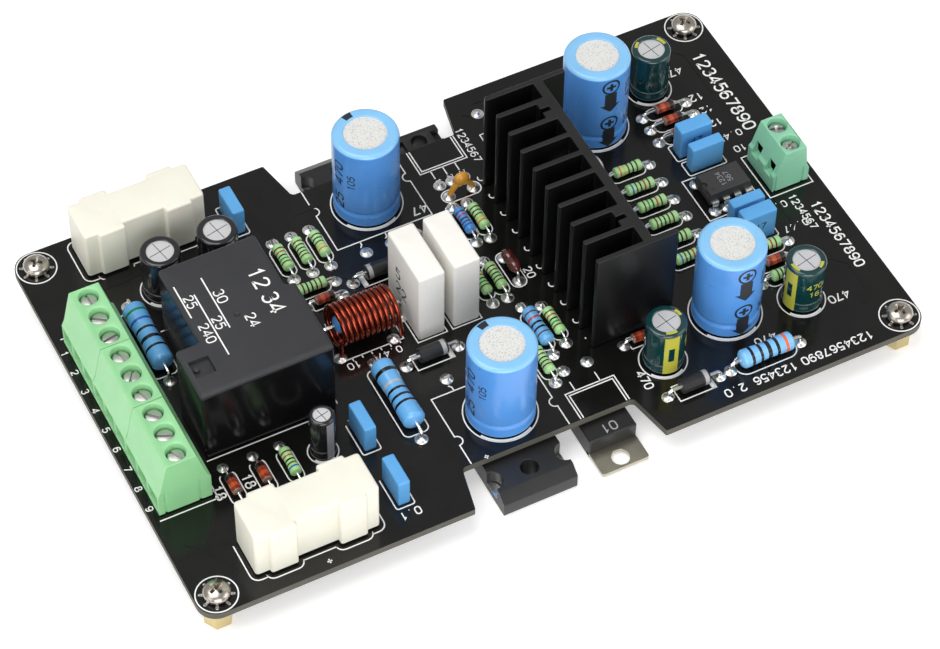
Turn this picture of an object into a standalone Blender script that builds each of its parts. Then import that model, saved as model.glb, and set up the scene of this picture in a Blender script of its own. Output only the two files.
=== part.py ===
"""Mono audio power amplifier module on one printed circuit board.

The board lies flat with its component side up. X runs from the power terminals
to the signal input, Y runs from the front edge to the back edge and Z is up.
The origin is under the middle of the board, level with the feet of the
standoffs. Every size below is in millimetres, and the meshes are in metres.
"""

import math

import bmesh
import bpy
from mathutils import Matrix, Vector

MM = 0.001
SEAT = 0.3
CUT_MARGIN = 1.0

# Printed circuit board
BOARD_LENGTH = 153.5
BOARD_WIDTH = 94.0
BOARD_THICKNESS = 1.6
BOARD_CORNER_RADIUS = 4.0
HOLE_INSET_X = 4.25
HOLE_INSET_Y = 4.2
HOLE_DIAMETER = 3.4
NOTCH_LEFT = -19.9
NOTCH_RIGHT = 16.6
NOTCH_DEPTH = 9.5
NOTCH_SPLAY = 2.0
NOTCH_FILLET = 1.0
LEAD_HOLE_DIAMETER = 1.9

# Every place below is measured on a board of 153.5 by 94 mm. A board of another size spreads
# or squeezes the whole layout with it, so that the pieces stay clear of one another
SPREAD_X = BOARD_LENGTH / 153.5
SPREAD_Y = BOARD_WIDTH / 94.0
HALF_LENGTH = BOARD_LENGTH / SPREAD_X / 2
HALF_WIDTH = BOARD_WIDTH / SPREAD_Y / 2

# Standoffs and the screws that hold the board on them
STANDOFF_HEIGHT = 6.0
STANDOFF_FLATS = 5.0
STANDOFF_BORE = 3.3
SCREW_HEAD_DIAMETER = 5.3
SCREW_HEAD_HEIGHT = 1.9
PAN_RIM_HEIGHT_SHARE = 0.4
PAN_CROWN_HEIGHT_SHARE = 0.9
PAN_CROWN_WIDTH_SHARE = 0.72
SCREW_SHANK_DIAMETER = 2.7
SCREW_LENGTH = 5.0

BOARD_UNDERSIDE = STANDOFF_HEIGHT
BOARD_TOP = BOARD_UNDERSIDE + BOARD_THICKNESS
HOLE_X = HALF_LENGTH - HOLE_INSET_X
HOLE_Y = HALF_WIDTH - HOLE_INSET_Y
ON_BOARD = BOARD_TOP + SEAT

# Terminal blocks with rising cages
TERMINAL_PITCH = 5.08
WAYS_PER_MODULE = 3
POWER_MODULES = 3
POWER_EDGE_INSET = 1.85
POWER_CENTRE_Y = 0.36
POWER_HEIGHT = 14.1
POWER_DEPTH = 10.8
POWER_TOP_DEPTH = 6.1
POWER_TOP_INSET = 2.2
POWER_SHOULDER_HEIGHT = 7.0
INPUT_EDGE_INSET = 2.45
INPUT_CENTRE_Y = 0.2
INPUT_WAYS = 2
INPUT_HEIGHT = 10.65
INPUT_DEPTH = 8.3
INPUT_TOP_DEPTH = 4.8
INPUT_TOP_INSET = 1.2
INPUT_SHOULDER_HEIGHT = 5.2
BLOCK_END_GAP = 0.15
BLOCK_ROOF = 3.4
BLOCK_MOUTH_SILL = 0.7
BLOCK_MOUTH_LINTEL = 1.6
BLOCK_MOUTH_STEP = 0.1
BLOCK_LIP_DROP = 1.4
INPUT_WINDOW_SIZE = 3.0
INPUT_WINDOW_DEPTH = 0.5
INPUT_WINDOW_SILL = 0.7
SHOULDER_STEP = 0.6
POCKET_WIDTH = 4.3
TERMINAL_BORE = 3.9
TERMINAL_HEAD_DIAMETER = 3.3
TERMINAL_HEAD_HEIGHT = 1.6
TERMINAL_HEAD_DROP = 1.2
TERMINAL_SHANK_DIAMETER = 2.2
TERMINAL_SLOT_WIDTH = 0.6
TERMINAL_SLOT_DEPTH = 0.7
THREAD_CLEARANCE = 0.5
CAGE_WALL = 0.6
POWER_CAGE_INSET = 0.6
CAGE_CLEARANCE = 0.3
CAGE_TRAVEL = 2.0
CONTACT_THICKNESS = 0.8
CONTACT_WIDTH = 1.8

# Relay
RELAY_CENTRE = (-48.2, 1.3)
RELAY_LENGTH = 27.0
RELAY_WIDTH = 31.2
RELAY_HEIGHT = 19.3
RELAY_STEP_LEFT = 4.9
RELAY_STEP_LEFT_Y = -3.6
RELAY_STEP_RIGHT = 2.0
RELAY_STEP_RIGHT_Y = 1.75
RELAY_EDGE_BEVEL = 0.9
RELAY_POCKET_SIZE = 4.2
RELAY_POCKET_DEPTH = 1.0
RELAY_STUB_DIAMETER = 1.2
RELAY_STUB_DROP = 0.3
RELAY_STUB_FROM_SIDE = 1.9
RELAY_DIMPLE_DIAMETER = 1.4
RELAY_DIMPLE_DEPTH = 0.4
RELAY_DIMPLE_PLACE = (0.4, -0.85)

# Fuse holders
FUSE_CENTRES = ((-51.9, -38.05), (-51.7, 40.3))
COVER_LENGTH = 25.2
COVER_HEIGHT = 12.3
COVER_WAIST = 8.2
COVER_END_WIDTH = 9.1
COVER_BUMP_WIDTH = 10.7
COVER_BUMP_START = 4.25
COVER_BUMP_END = 9.8
COVER_WALL = 0.9
COVER_LIFT = 0.3
FUSE_DIAMETER = 5.2
FUSE_LENGTH = 20.0
FUSE_HEIGHT = 6.3
FUSE_CAP_LENGTH = 4.5
FUSE_CAP_WALL = 0.15
CLIP_WALL = 0.4
CLIP_LENGTH = 3.2
CLIP_LIP_DEGREES = 45
CLIP_STEP_DEGREES = 27
FUSE_BASE_HEIGHT = 2.4

# Heatsink, a comb of vertical fins with the driver chip behind it
HEATSINK_SPINE_X = 25.7
HEATSINK_SPINE_THICKNESS = 2.0
HEATSINK_FIN_LENGTH = 10.3
HEATSINK_FIN_PITCH = 5.08
HEATSINK_FINS = 10
HEATSINK_FIN_THICKNESS = 1.1
HEATSINK_WING_LENGTH = 5.1
HEATSINK_HEIGHT = 25.6
HEATSINK_GAPS = HEATSINK_FINS - 1
HEATSINK_BOSS_GAPS = (1, HEATSINK_GAPS - 2)
HEATSINK_BOSS_THICKNESS = 1.9
HEATSINK_SLOT = 1.0
CHIP_CENTRE_Y = 4.7
CHIP_WIDTH = 19.8
CHIP_THICKNESS = 4.4
CHIP_BODY_HEIGHT = 10.6
CHIP_TAB_HEIGHT = 16.9
CHIP_TAB_THICKNESS = 1.4
CHIP_LIFT = 2.4
CHIP_PINS = 15
CHIP_PIN_ROWS = (0.75, 0.3)
CHIP_PIN_WIDTH = 0.6
CHIP_PIN_THICKNESS = 0.5
CHIP_SCREW_LENGTH = 7.0
CHIP_HEAD_HEIGHT = 2.2

# The screw, its hole and its head keep their share of the tab that stands above the chip's body
CHIP_TAB_FREE = CHIP_TAB_HEIGHT - CHIP_BODY_HEIGHT
CHIP_HOLE_DIAMETER = CHIP_TAB_FREE * 0.57
CHIP_SCREW_DIAMETER = CHIP_HOLE_DIAMETER - 2 * SEAT
CHIP_SCREW_HEAD = CHIP_TAB_FREE * 0.86
CHIP_SCREW_HEIGHT = CHIP_LIFT + CHIP_BODY_HEIGHT + CHIP_TAB_FREE / 2

# Electrolytic capacitors that stand on the board
BLUE_CAN_DIAMETER = 13.4
BLUE_CAN_HEIGHT = 21.0
BLUE_CAN_PLACES = ((-7.4, -28.9), (-7.4, 29.1), (42.7, -26.9), (42.7, 27.1))
GREEN_CAN_DIAMETER = 8.0
GREEN_CAN_HEIGHT = 12.0
GREEN_CAN_PLACES = ((26.2, -31.8), (57.6, -30.7), (57.6, 31.0))
BLACK_CAN_DIAMETER = 8.0
BLACK_CAN_HEIGHT = 11.7
BLACK_CAN_PLACES = ((-52.4, 26.9), (-40.4, 26.9))
SLIM_CAN_DIAMETER = 5.0
SLIM_CAN_HEIGHT = 11.5
SLIM_CAN_PLACES = ((-41.4, -22.3),)
CAN_GROOVE_HEIGHT = 3.5
CAN_GROOVE_DEPTH = 0.35

# Film capacitors, each as centre and footprint along X and Y, and height
FILM_HEIGHT = 6.5
TALL_FILM_HEIGHT = 7.6
FILM_LENGTH = 7.2
FILM_WIDTH = 2.5
WIDE_FILM_WIDTH = 3.2
FILM_BEVEL = 0.4
FILM_ALONG_Y = ((-33.2, -22.4), (-33.1, -36.4), (-33.2, 36.7))
FILM_ALONG_X = ((57.9, 8.3), (57.8, -8.2))
WIDE_FILM_ALONG_X = ((57.6, 13.0), (57.7, -12.5))

# Cement resistors
CEMENT_WIDTH = 5.6
CEMENT_LENGTH = 13.8
CEMENT_HEIGHT = 18.0
CEMENT_PLACES = ((-10.8, 0.1), (-3.3, 0.1))
CEMENT_BEVEL = 0.5

# Output coil and the resistor through it
COIL_CENTRE = (-22.6, 0.0)
COIL_AXIS_HEIGHT = 5.2
COIL_OUTER_DIAMETER = 8.9
COIL_WIRE = 1.0
COIL_TURNS = 11
COIL_TURN_PITCH = 1.12
COIL_STEPS_PER_TURN = 9
COIL_EXIT_SHIFT = 0.3
COIL_TAIL_SHIFT = (0.6, -0.2)

# Axial parts: body diameter, body length and height of the body's axis
LEAD_DIAMETER = 0.6
THICK_LEAD_DIAMETER = 0.8
RESISTOR_WAIST = 0.2
AXIAL_END_DEPTH = 0.02
AXIAL_END_SHARE = 0.72
AXIAL_SHOULDER_SHARE = 0.06
AXIAL_WAIST_SHARE = 0.27
QUARTER_WATT = (2.2, 6.3)
HALF_WATT = (2.9, 9.0)
ONE_WATT = (3.6, 11.7)
TWO_WATT = (4.4, 15.8)
GLASS_DIODE = (1.9, 4.2)
BLACK_DIODE = (3.0, 6.0)
SMALL_LEAD_SPAN = 10.16
COIL_RESISTOR_SPAN = 17.0

# Trimmer
TRIMMER_CENTRE = (26.15, 32.2)
TRIMMER_LENGTH = 9.5
TRIMMER_WIDTH = 4.8
TRIMMER_HEIGHT = 10.2
TRIMMER_SCREW_OFFSET = (-3.45, 1.0)
TRIMMER_SCREW_DIAMETER = 2.2
TRIMMER_SCREW_PROUD = 1.6
TRIMMER_SCREW_DEPTH = 2.0
TRIMMER_BORE_CLEARANCE = 0.2
TRIMMER_SLOT_WIDTH = 0.5
TRIMMER_SLOT_DEPTH = 0.7

# Small amplifier chip in a dual-in-line case
DIP_CENTRE = (57.4, 0.1)
DIP_LENGTH = 9.6
DIP_WIDTH = 6.4
DIP_BODY_HEIGHT = 3.3
DIP_ROW_SPACING = 7.62
DIP_PIN_PITCH = 2.54
DIP_PINS_PER_ROW = 4
DIP_STAND = 0.6
DIP_PIN_THICKNESS = 0.5
DIP_PIN_WIDTH = 1.3
DIP_PIN_ROOT = 0.5
DIP_DRAFT = 0.3
DIP_BELT = 0.3
DIP_NOTCH_DIAMETER = 1.8
DIP_NOTCH_DEPTH = 0.6

# Power transistors that hang under the board in the notches
PIN_ROOT = 1.0
PIN_RISE = 0.8
POWER_CENTRE_X = -7.6
POWER_BODY_WIDTH = 15.6
POWER_BODY_LENGTH = 19.9
POWER_BODY_THICKNESS = 4.9
POWER_BODY_LIFT = 0.2
POWER_END_Y = 46.2
POWER_HOLE_Y = 41.25
POWER_HOLE_DIAMETER = 3.6
POWER_PIN_PITCH = 5.45
POWER_PIN_Y = 17.5
POWER_PIN_WIDTH = 1.2
POWER_PIN_THICKNESS = 0.6
POWER_NOTCH_DIAMETER = 4.2
POWER_NOTCH_FROM_END = 5.2
POWER_NOTCH_FLOOR = 1.6
POWER_BEVEL_LENGTH = 2.2
POWER_BEVEL_DROP = 1.6
SMALL_CENTRE_X = 10.3
SMALL_BODY_WIDTH = 10.1
SMALL_BODY_LENGTH = 15.8
SMALL_BODY_THICKNESS = 4.5
SMALL_END_Y = 44.5
SMALL_HOLE_Y = 41.4
SMALL_HOLE_DIAMETER = 3.2
SMALL_PIN_PITCH = 2.7
SMALL_PIN_Y = 26.6
SMALL_PIN_WIDTH = 0.8
SWITCH_BODY_END_Y = 41.5
SWITCH_BODY_LENGTH = 14.2
SWITCH_TAB_END_Y = 46.9
SWITCH_TAB_THICKNESS = 0.8
SWITCH_TAB_LIFT = 0.4
SWITCH_TAB_LAP = 1.0
SWITCH_HOLE_Y = 44.6
SWITCH_PIN_PITCH = 5.1
SWITCH_PIN_Y = 25.8

# Quarter-watt resistors: those along Y by x and the y of the middle, those along X likewise
SMALL_RESISTORS_ALONG_Y = (
    (-28.7, 22.7),
    (-24.65, 22.7),
    (-20.75, 22.7),
    (-48.3, -22.6),
    (3.3, 0.1),
    (6.5, 0.1),
    (10.45, 15.1),
    (7.45, 15.3),
    (11.4, -14.9),
    (5.1, -22.5),
)
SMALL_RESISTORS_ALONG_X = (
    (-26.8, 13.7),
    (42.7, 12.8),
    (42.7, 7.6),
    (42.7, 2.6),
    (42.7, -2.3),
    (42.7, -7.4),
    (42.7, -12.4),
    (57.6, -16.9),
    (57.6, -24.3),
)
GLASS_DIODES_ALONG_Y = ((-59.9, -22.6), (-53.8, -22.6))
GLASS_DIODES_ALONG_X = ((57.5, 24.2), (57.5, 20.7), (57.5, 17.0), (57.5, -20.6))
SHORT_GLASS_DIODES_ALONG_X = ((-25.7, 10.0), (24.8, -25.6))
SHORT_DIODE_SPAN = 7.62
BLACK_DIODES_ALONG_X = ((-13.05, -11.4), (-13.2, 11.65), (28.25, -40.25))
BLACK_DIODE_SPAN = 11.2
HALF_WATT_PADS = ((7.9, -14.9, 13.0),)
ONE_WATT_PLACE = (44.1, -40.0, 15.4)
TWO_WATT_PLACES = ((-23.7, -18.0, 20.2), (-60.4, 15.75, 20.3))
DIPPED_CAP_CENTRE = (10.7, 23.2)
DIPPED_CAP_DIAMETER = 3.2
DIPPED_CAP_SPAN = 5.08
DIPPED_CAP_HEIGHT = 4.3
DIPPED_CAP_LEG = 0.8
MICA_CAP_CENTRE = (10.4, 1.0)
MICA_CAP_LENGTH = 5.6
MICA_CAP_DIAMETER = 2.6


def clear_scene():
    """Remove whatever the scene holds at the start."""
    for item in list(bpy.data.objects):
        bpy.data.objects.remove(item, do_unlink=True)


def make_material(name, colour, roughness, metallic=0.0):
    """A plain Principled material with the piece's colour."""
    material = bpy.data.materials.new(name)
    material.use_nodes = True
    shader = material.node_tree.nodes["Principled BSDF"]
    shader.inputs["Base Color"].default_value = (*colour, 1.0)
    shader.inputs["Roughness"].default_value = roughness
    shader.inputs["Metallic"].default_value = metallic
    material.diffuse_color = (*colour, 1.0)
    return material


def make_object(name, shape, material=None, origin=(0.0, 0.0, 0.0)):
    """Turn a bmesh in millimetres into an object whose origin is at the given point."""
    bmesh.ops.recalc_face_normals(shape, faces=shape.faces[:])
    if shape.calc_volume(signed=True) < 0:
        bmesh.ops.reverse_faces(shape, faces=shape.faces[:])
    spread = Matrix.Diagonal((SPREAD_X * MM, SPREAD_Y * MM, MM, 1.0))
    place = spread @ Matrix.Translation(-Vector(origin))
    bmesh.ops.transform(shape, matrix=place, verts=shape.verts[:])
    mesh = bpy.data.meshes.new(name)
    shape.to_mesh(mesh)
    shape.free()
    item = bpy.data.objects.new(name, mesh)
    item.location = spread @ Vector(origin)
    bpy.context.scene.collection.objects.link(item)
    if material is not None:
        mesh.materials.append(material)
    return item


def make_helper(name, shape):
    """A cutter or an addition that takes part in a Boolean and is not a piece itself."""
    helper = make_object(name, shape)
    helper.hide_render = True
    helper.display_type = "WIRE"
    return helper


def combine(item, helper, operation):
    """Add an exact Boolean to the piece."""
    modifier = item.modifiers.new(helper.name, "BOOLEAN")
    modifier.operation = operation
    modifier.object = helper
    modifier.solver = "EXACT"


def smooth_round(item, angle=35.0):
    """Shade the round faces smooth and keep edges above the angle sharp."""
    item.data.shade_smooth()
    item.data.set_sharp_from_angle(angle=math.radians(angle))


def circle_points(centre, diameter, sides, start=0.0):
    """Corners of a regular polygon."""
    points = []
    for index in range(sides):
        angle = start + 2 * math.pi * index / sides
        points.append(
            (centre[0] + diameter / 2 * math.cos(angle), centre[1] + diameter / 2 * math.sin(angle))
        )
    return points


def rectangle_points(x0, x1, y0, y1):
    """Corners of an upright rectangle."""
    return [(x0, y0), (x1, y0), (x1, y1), (x0, y1)]


def filleted(corners, steps=3):
    """Round each corner (x, y, radius) of a closed outline with an arc of the given steps."""
    points = []
    count = len(corners)
    for index, (x, y, radius) in enumerate(corners):
        here = Vector((x, y))
        if radius <= 0:
            points.append((x, y))
            continue
        before = (Vector(corners[index - 1][:2]) - here).normalized()
        after = (Vector(corners[(index + 1) % count][:2]) - here).normalized()
        half = before.angle(after) / 2
        reach = radius / math.tan(half)
        centre = here + (before + after).normalized() * (radius / math.sin(half))
        first = here + before * reach - centre
        last = here + after * reach - centre
        for step in range(steps + 1):
            point = centre + first.slerp(last, step / steps) * radius
            points.append((point.x, point.y))
    return points


def add_plate(shape, outline, low, high, holes=()):
    """Add an upright plate with the outline and straight holes from low to high."""
    edges = []
    for loop in (outline, *holes):
        corners = [shape.verts.new((x, y, low)) for x, y in loop]
        for index, corner in enumerate(corners):
            edges.append(shape.edges.new((corner, corners[(index + 1) % len(corners)])))
    if holes:
        filled = bmesh.ops.triangle_fill(shape, use_beauty=True, edges=edges)
        faces = [face for face in filled["geom"] if isinstance(face, bmesh.types.BMFace)]
    else:
        faces = [shape.faces.new([edge.verts[0] for edge in edges])]
    raised = bmesh.ops.extrude_face_region(shape, geom=faces, use_keep_orig=True)
    tops = [part for part in raised["geom"] if isinstance(part, bmesh.types.BMVert)]
    bmesh.ops.translate(shape, vec=(0.0, 0.0, high - low), verts=tops)


def add_box(shape, x0, x1, y0, y1, z0, z1):
    """Add a box between the given faces."""
    add_plate(shape, rectangle_points(x0, x1, y0, y1), z0, z1)


def add_rings(shape, rings):
    """Join rings of as many points each from the first to the last, and close both ends."""
    loops = [[shape.verts.new(point) for point in ring] for ring in rings]
    shape.faces.new(loops[0][::-1])
    shape.faces.new(loops[-1])
    for below, above in zip(loops, loops[1:]):
        for index in range(len(below)):
            after = (index + 1) % len(below)
            shape.faces.new((below[index], below[after], above[after], above[index]))


def add_side_prism(shape, profile, y0, y1):
    """Add a bar along Y whose section is given in X and Z."""
    add_rings(shape, [[(x, y, z) for x, z in profile] for y in (y0, y1)])


def add_cross_prism(shape, section, x0, x1, y_shift=0.0):
    """Add a bar along X whose section is given in Y and Z, moved along Y by the shift."""
    add_rings(shape, [[(x, y + y_shift, z) for y, z in section] for x in (x0, x1)])


def add_tiers(shape, centre, length_x, length_y, tiers):
    """Add a rectangular block whose plan is inset by its own amount at each height of the tiers."""
    rings = []
    for inset, z in tiers:
        half_x = length_x / 2 - inset
        half_y = length_y / 2 - inset
        corners = rectangle_points(centre[0] - half_x, centre[0] + half_x, centre[1] - half_y, centre[1] + half_y)
        rings.append([(x, y, z) for x, y in corners])
    add_rings(shape, rings)


def add_turned(shape, profile, sides, centre=(0.0, 0.0)):
    """Turn an open profile of (radius, height) that starts and ends on the axis."""
    rings = []
    for radius, height in profile:
        if radius == 0:
            rings.append([shape.verts.new((centre[0], centre[1], height))])
            continue
        ring = circle_points(centre, 2 * radius, sides)
        rings.append([shape.verts.new((x, y, height)) for x, y in ring])
    for below, above in zip(rings, rings[1:]):
        for index in range(sides):
            after = (index + 1) % sides
            if len(below) == 1:
                shape.faces.new((below[0], above[after], above[index]))
            elif len(above) == 1:
                shape.faces.new((below[index], below[after], above[0]))
            else:
                shape.faces.new((below[index], below[after], above[after], above[index]))


def add_swept(shape, stations, sides, flat_first=None):
    """Sweep a round section along stations of (point, radius) and cap both ends."""
    points = [Vector(point) for point, _ in stations]
    normal = Vector(flat_first) if flat_first else None
    rings = []
    for index, (_, radius) in enumerate(stations):
        before = points[max(index - 1, 0)]
        after = points[min(index + 1, len(points) - 1)]
        along = (after - before).normalized()
        if normal is None:
            normal = along.orthogonal()
        normal = (normal - along * normal.dot(along)).normalized()
        across = along.cross(normal)
        ring = []
        for step in range(sides):
            angle = 2 * math.pi * (step + 0.5) / sides
            offset = normal * math.cos(angle) + across * math.sin(angle)
            ring.append(points[index] + offset * radius)
        rings.append(ring)
    add_rings(shape, rings)


def corner_places():
    """The four mounting holes."""
    return [(sx * HOLE_X, sy * HOLE_Y) for sx in (-1, 1) for sy in (-1, 1)]


def power_pin_places(side):
    """Pin centres of a power transistor, side -1 at the front and 1 at the back."""
    return [(POWER_CENTRE_X + step * POWER_PIN_PITCH, side * POWER_PIN_Y) for step in (-1, 0, 1)]


def small_pin_places():
    """Pin centres of the driver transistor at the back."""
    return [(SMALL_CENTRE_X + step * SMALL_PIN_PITCH, SMALL_PIN_Y) for step in (-1, 0, 1)]


def switch_pin_places():
    """Pin centres of the thermal switch at the front."""
    return [(SMALL_CENTRE_X + step * SWITCH_PIN_PITCH, -SWITCH_PIN_Y) for step in (-0.5, 0.5)]


def lead_hole_places():
    """Board holes that the leads of the parts underneath come up through."""
    return power_pin_places(-1) + power_pin_places(1) + small_pin_places() + switch_pin_places()


def board_outline():
    """Rounded rectangle with a splayed notch in the front edge and another in the back edge."""
    half_x = HALF_LENGTH
    half_y = HALF_WIDTH
    inner = half_y - NOTCH_DEPTH
    mouth_left = NOTCH_LEFT - NOTCH_SPLAY
    mouth_right = NOTCH_RIGHT + NOTCH_SPLAY
    return filleted(
        [
            (-half_x, -half_y, BOARD_CORNER_RADIUS),
            (mouth_left, -half_y, 0),
            (NOTCH_LEFT, -inner, NOTCH_FILLET),
            (NOTCH_RIGHT, -inner, NOTCH_FILLET),
            (mouth_right, -half_y, 0),
            (half_x, -half_y, BOARD_CORNER_RADIUS),
            (half_x, half_y, BOARD_CORNER_RADIUS),
            (mouth_right, half_y, 0),
            (NOTCH_RIGHT, inner, NOTCH_FILLET),
            (NOTCH_LEFT, inner, NOTCH_FILLET),
            (mouth_left, half_y, 0),
            (-half_x, half_y, BOARD_CORNER_RADIUS),
        ]
    )


def axial_stations(centre, span, along_x, size, lead, waist=0.0, height=None):
    """Path and radii of an axial part whose leads bend down into the board."""
    diameter, length = size
    radius = diameter / 2
    axis_height = BOARD_TOP + (height if height is not None else radius + SEAT)
    root = BOARD_TOP - BOARD_THICKNESS / 2
    direction = Vector((1.0, 0.0, 0.0)) if along_x else Vector((0.0, 1.0, 0.0))
    middle = Vector((centre[0], centre[1], axis_height))
    end = length / 2
    half = [(end, lead / 2), (end - AXIAL_END_DEPTH, radius * AXIAL_END_SHARE)]
    half.append((end - length * AXIAL_SHOULDER_SHARE, radius))
    if waist > 0:
        half.append((end - length * AXIAL_WAIST_SHARE, radius - waist))
    stations = []
    for sign in (-1, 1):
        foot = middle + direction * (sign * span / 2)
        leg = [(Vector((foot.x, foot.y, root)), lead / 2), (foot, lead / 2)]
        body = [(middle + direction * (sign * offset), r) for offset, r in half]
        stations += leg + body if sign < 0 else (leg + body)[::-1]
    return stations


def add_axial(shape, centre, span, along_x, size, lead=LEAD_DIAMETER, sides=6, waist=0.0, height=None):
    """Add a resistor or diode with bent leads as one swept body."""
    first = (0.0, 1.0, 0.0) if along_x else (1.0, 0.0, 0.0)
    add_swept(shape, axial_stations(centre, span, along_x, size, lead, waist, height), sides, first)


def add_resistors(shape):
    """The axial resistors."""
    waist = RESISTOR_WAIST
    for place in SMALL_RESISTORS_ALONG_Y:
        add_axial(shape, place, SMALL_LEAD_SPAN, False, QUARTER_WATT, waist=waist)
    for place in SMALL_RESISTORS_ALONG_X:
        add_axial(shape, place, SMALL_LEAD_SPAN, True, QUARTER_WATT, waist=waist)
    for x, y, span in HALF_WATT_PADS:
        add_axial(shape, (x, y), span, False, HALF_WATT, waist=waist)
    x, y, span = ONE_WATT_PLACE
    add_axial(shape, (x, y), span, True, ONE_WATT, THICK_LEAD_DIAMETER, 8, waist)
    for x, y, span in TWO_WATT_PLACES:
        add_axial(shape, (x, y), span, False, TWO_WATT, THICK_LEAD_DIAMETER, 8, waist)
    add_axial(
        shape, COIL_CENTRE, COIL_RESISTOR_SPAN, True, ONE_WATT, THICK_LEAD_DIAMETER, 8, waist, COIL_AXIS_HEIGHT
    )


def add_diodes(shape):
    """The glass diodes and the moulded rectifiers."""
    for place in GLASS_DIODES_ALONG_Y:
        add_axial(shape, place, SMALL_LEAD_SPAN, False, GLASS_DIODE)
    for place in GLASS_DIODES_ALONG_X:
        add_axial(shape, place, SMALL_LEAD_SPAN, True, GLASS_DIODE)
    for place in SHORT_GLASS_DIODES_ALONG_X:
        add_axial(shape, place, SHORT_DIODE_SPAN, True, GLASS_DIODE)
    for place in BLACK_DIODES_ALONG_X:
        add_axial(shape, place, BLACK_DIODE_SPAN, True, BLACK_DIODE, THICK_LEAD_DIAMETER, 8)


def add_film_capacitor(shape, centre, length_x, length_y, height):
    """Add a boxed film capacitor with a bevelled top that stands in the board's face."""
    foot = BOARD_TOP - BOARD_THICKNESS / 4
    top = BOARD_TOP + height
    tiers = ((0.0, foot), (0.0, top - FILM_BEVEL), (FILM_BEVEL, top))
    add_tiers(shape, centre, length_x, length_y, tiers)


def can_profile(diameter, height, foot):
    """Profile of a crimped aluminium can with a beaded groove above its seal."""
    radius = diameter / 2
    groove = foot + CAN_GROOVE_HEIGHT * height / BLUE_CAN_HEIGHT
    bead = CAN_GROOVE_DEPTH * 1.5
    return [
        (0, foot),
        (radius - CAN_GROOVE_DEPTH, foot),
        (radius, foot + CAN_GROOVE_DEPTH),
        (radius, groove - bead),
        (radius - CAN_GROOVE_DEPTH, groove),
        (radius, groove + bead),
        (radius, foot + height - 2 * CAN_GROOVE_DEPTH),
        (radius - CAN_GROOVE_DEPTH, foot + height),
        (0, foot + height),
    ]


def add_small_cans(shape):
    """The black electrolytic capacitors, which stand in the board's face."""
    foot = BOARD_TOP - BOARD_THICKNESS / 4
    for place in BLACK_CAN_PLACES:
        height = BLACK_CAN_HEIGHT + BOARD_THICKNESS / 4
        add_turned(shape, can_profile(BLACK_CAN_DIAMETER, height, foot), 12, place)
    for place in SLIM_CAN_PLACES:
        height = SLIM_CAN_HEIGHT + BOARD_THICKNESS / 4
        add_turned(shape, can_profile(SLIM_CAN_DIAMETER, height, foot), 10, place)


def add_dipped_capacitors(shape):
    """The ceramic bead on splayed legs and the mica capacitor that lies along Y."""
    x, y = DIPPED_CAP_CENTRE
    root = BOARD_TOP - BOARD_THICKNESS / 2
    bead = BOARD_TOP + DIPPED_CAP_HEIGHT
    half = DIPPED_CAP_DIAMETER / 2
    reach = DIPPED_CAP_SPAN / 2
    leg = DIPPED_CAP_LEG / 2
    right = [
        ((x + half * 0.5, y, bead), half * 0.9),
        ((x + half * 0.8, y, bead - 1.5 * leg), 1.5 * leg),
        ((x + reach, y, BOARD_TOP + 2.5 * leg), leg),
        ((x + reach, y, root), leg),
    ]
    left = [((2 * x - point[0], *point[1:]), radius) for point, radius in right[::-1]]
    stations = left + right
    add_swept(shape, stations, 8, (0.0, 1.0, 0.0))
    size = (MICA_CAP_DIAMETER, MICA_CAP_LENGTH)
    span = MICA_CAP_LENGTH - LEAD_DIAMETER
    add_axial(shape, MICA_CAP_CENTRE, span, False, size, sides=6, height=MICA_CAP_DIAMETER)


def add_cement_resistors(shape):
    """Two upright ceramic resistors with bevelled edges, which stand in the board's face."""
    half_x = CEMENT_WIDTH / 2
    half_y = CEMENT_LENGTH / 2
    foot = BOARD_TOP - BOARD_THICKNESS / 4
    top = BOARD_TOP + CEMENT_HEIGHT
    for x, y in CEMENT_PLACES:
        block = bmesh.new()
        add_box(block, x - half_x, x + half_x, y - half_y, y + half_y, foot, top)
        edges = block.edges[:]
        bmesh.ops.bevel(block, geom=edges, offset=CEMENT_BEVEL, segments=1, affect="EDGES")
        mesh = bpy.data.meshes.new("cement_resistor")
        block.to_mesh(mesh)
        block.free()
        shape.from_mesh(mesh)


def terminal_ways():
    """Name, centre and block of every terminal way."""
    ways = []
    count = POWER_MODULES * WAYS_PER_MODULE
    for index in range(count):
        y = POWER_CENTRE_Y + (index - (count - 1) / 2) * TERMINAL_PITCH
        ways.append(("power", index + 1, y))
    for index in range(INPUT_WAYS):
        y = INPUT_CENTRE_Y + (index - (INPUT_WAYS - 1) / 2) * TERMINAL_PITCH
        ways.append(("input", index + 1, y))
    return ways


def block_sizes(kind):
    """Outer face, wire direction, depths and heights of a terminal block."""
    if kind == "power":
        face = -(HALF_LENGTH - POWER_EDGE_INSET)
        return face, 1, POWER_DEPTH, POWER_TOP_INSET, POWER_TOP_DEPTH, POWER_SHOULDER_HEIGHT, POWER_HEIGHT
    face = HALF_LENGTH - INPUT_EDGE_INSET
    return face, -1, INPUT_DEPTH, INPUT_TOP_INSET, INPUT_TOP_DEPTH, INPUT_SHOULDER_HEIGHT, INPUT_HEIGHT


def screw_x(kind):
    """X of the screws of a block, at the middle of its top face."""
    face, inward, _, top_inset, top_depth, _, _ = block_sizes(kind)
    return face + inward * (top_inset + top_depth / 2)


def cage_sizes(kind):
    """Half length along X, half width along Y, height and foot of a cage at rest."""
    _, _, _, _, top_depth, _, height = block_sizes(kind)
    half_length = top_depth / 2 - (POWER_CAGE_INSET if kind == "power" else 0.0)
    half_width = POCKET_WIDTH / 2 - CAGE_CLEARANCE
    roof = height - BLOCK_ROOF
    tall = roof - CAGE_CLEARANCE - CAGE_TRAVEL - SEAT
    return half_length, half_width, tall, ON_BOARD


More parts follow.
